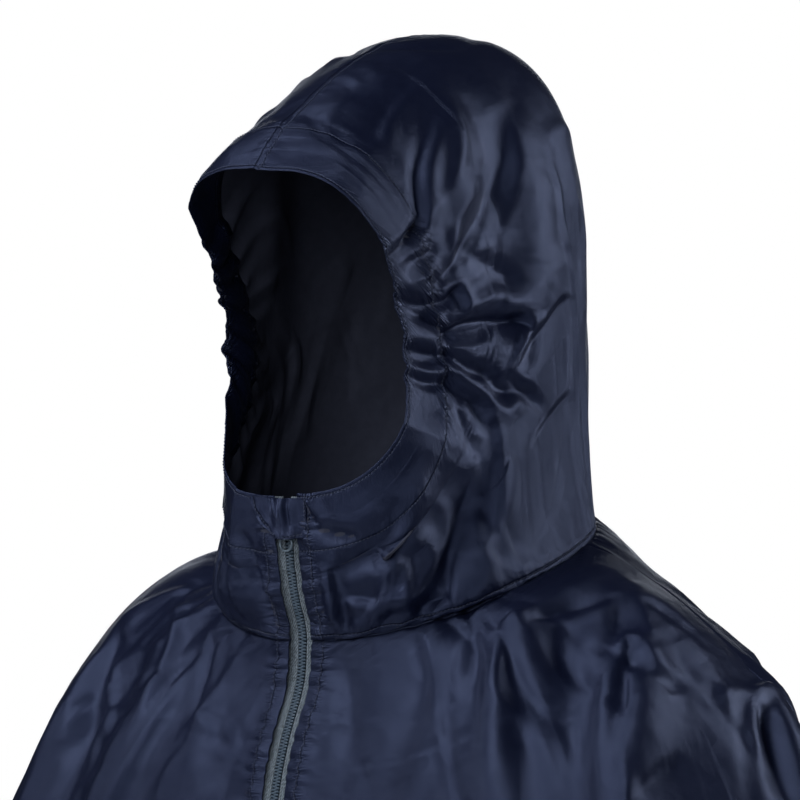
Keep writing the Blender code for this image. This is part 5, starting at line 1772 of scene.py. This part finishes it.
def studio_world():
    """A white background that lights the cloth only faintly."""
    world = bpy.data.worlds.new("studio")
    world.use_nodes = True
    tree = world.node_tree
    tree.nodes.clear()
    path = tree.nodes.new("ShaderNodeLightPath")
    mix = tree.nodes.new("ShaderNodeMixShader")
    output = tree.nodes.new("ShaderNodeOutputWorld")
    tree.links.new(path.outputs["Is Camera Ray"], mix.inputs["Fac"])
    for socket, colour, strength in ((1, (0.85, 0.92, 1.0, 1), 0.018), (2, (1, 1, 1, 1), 1.0)):
        light = tree.nodes.new("ShaderNodeBackground")
        light.inputs["Color"].default_value = colour
        light.inputs["Strength"].default_value = strength
        tree.links.new(light.outputs["Background"], mix.inputs[socket])
    tree.links.new(mix.outputs["Shader"], output.inputs["Surface"])
    return world


class PONCHO_OT_add_stage(bpy.types.Operator):
    """Add the floor, the lights and the camera"""

    bl_idname = "poncho.add_stage"
    bl_label = "Add Stage"

    def execute(self, context):
        settings = context.scene.poncho_stage
        turn = settings.azimuth
        toward = Vector((math.sin(turn), -math.cos(turn), 0))
        right = Vector((math.cos(turn), math.sin(turn), 0))
        target = -settings.view_left * right + Vector((0, 0, settings.view_height))
        shape = bmesh.new()
        bmesh.ops.create_circle(shape, cap_ends=True, segments=96, radius=1.5)
        mesh = bpy.data.meshes.new("floor")
        shape.to_mesh(mesh)
        shape.free()
        floor = bpy.data.objects.new("floor", mesh)
        floor.location.z = CAD_BOX[0].z - 0.002
        mesh.materials.append(floor_paper())
        context.scene.collection.objects.link(floor)
        camera_data = bpy.data.cameras.new("camera")
        camera_data.sensor_width = 36
        camera_data.lens = 36 * settings.distance / settings.view_width
        camera = bpy.data.objects.new("camera", camera_data)
        context.scene.camera = placed(camera, target + settings.distance * toward, -toward)
        up = Vector((0, 0, 1))
        lights = (
            ("key", 2.2 * toward - 0.6 * right + 0.6 * up, 1.4, 0.72),
            ("right_side", -0.3 * toward + 2.2 * right + 0.6 * up, 0.65, 0.95),
            ("left_side", 0.3 * toward - 2.2 * right + 0.6 * up, 0.65, 0.46),
            ("top", 0.5 * toward - 1.2 * right + 1.8 * up, 0.6, 0.9),
            ("back", -2.4 * toward + 0.2 * up, 1.2, 0.50),
        )
        for name, place, size, share in lights:
            data = bpy.data.lights.new(name, "AREA")
            data.shape = "SQUARE"
            data.size = size
            data.energy = settings.key_power * share
            data.color = (0.84, 0.90, 1.0)
            placed(bpy.data.objects.new(name, data), target + place, -place)
        context.scene.world = studio_world()
        context.scene.view_settings.view_transform = "Standard"
        return {"FINISHED"}


class PONCHO_PT_panel(bpy.types.Panel):
    """The steps that dress the poncho, in order"""

    bl_label = "Rain Poncho"
    bl_idname = "PONCHO_PT_panel"
    bl_space_type = "VIEW_3D"
    bl_region_type = "UI"
    bl_category = "Poncho"

    def draw(self, context):
        scene = context.scene
        for settings in (scene.poncho_cloth, scene.poncho_zip, scene.poncho_stage):
            box = self.layout.box()
            for name in settings.__annotations__:
                box.prop(settings, name)
        for step in STEPS:
            self.layout.operator(step.bl_idname)


STEPS = (
    PONCHO_OT_add_stage,
    PONCHO_OT_add_front,
    PONCHO_OT_add_back,
    PONCHO_OT_add_hood,
    PONCHO_OT_add_guard,
    PONCHO_OT_add_zip,
)
SETTINGS = {
    "poncho_cloth": PonchoClothSettings,
    "poncho_zip": PonchoZipSettings,
    "poncho_stage": PonchoStageSettings,
}
CLASSES = (*SETTINGS.values(), *STEPS, PONCHO_PT_panel)


def register():
    for each in CLASSES:
        bpy.utils.register_class(each)
    for name, group in SETTINGS.items():
        setattr(bpy.types.Scene, name, bpy.props.PointerProperty(type=group))


def unregister():
    for name in SETTINGS:
        delattr(bpy.types.Scene, name)
    for each in reversed(CLASSES):
        bpy.utils.unregister_class(each)


def main():
    register()
    for step in STEPS:
        area, name = step.bl_idname.split(".")
        result = getattr(getattr(bpy.ops, area), name)()
        if result != {"FINISHED"}:
            raise RuntimeError(f"{step.bl_label} did not finish")


if __name__ == "__main__":
    main()
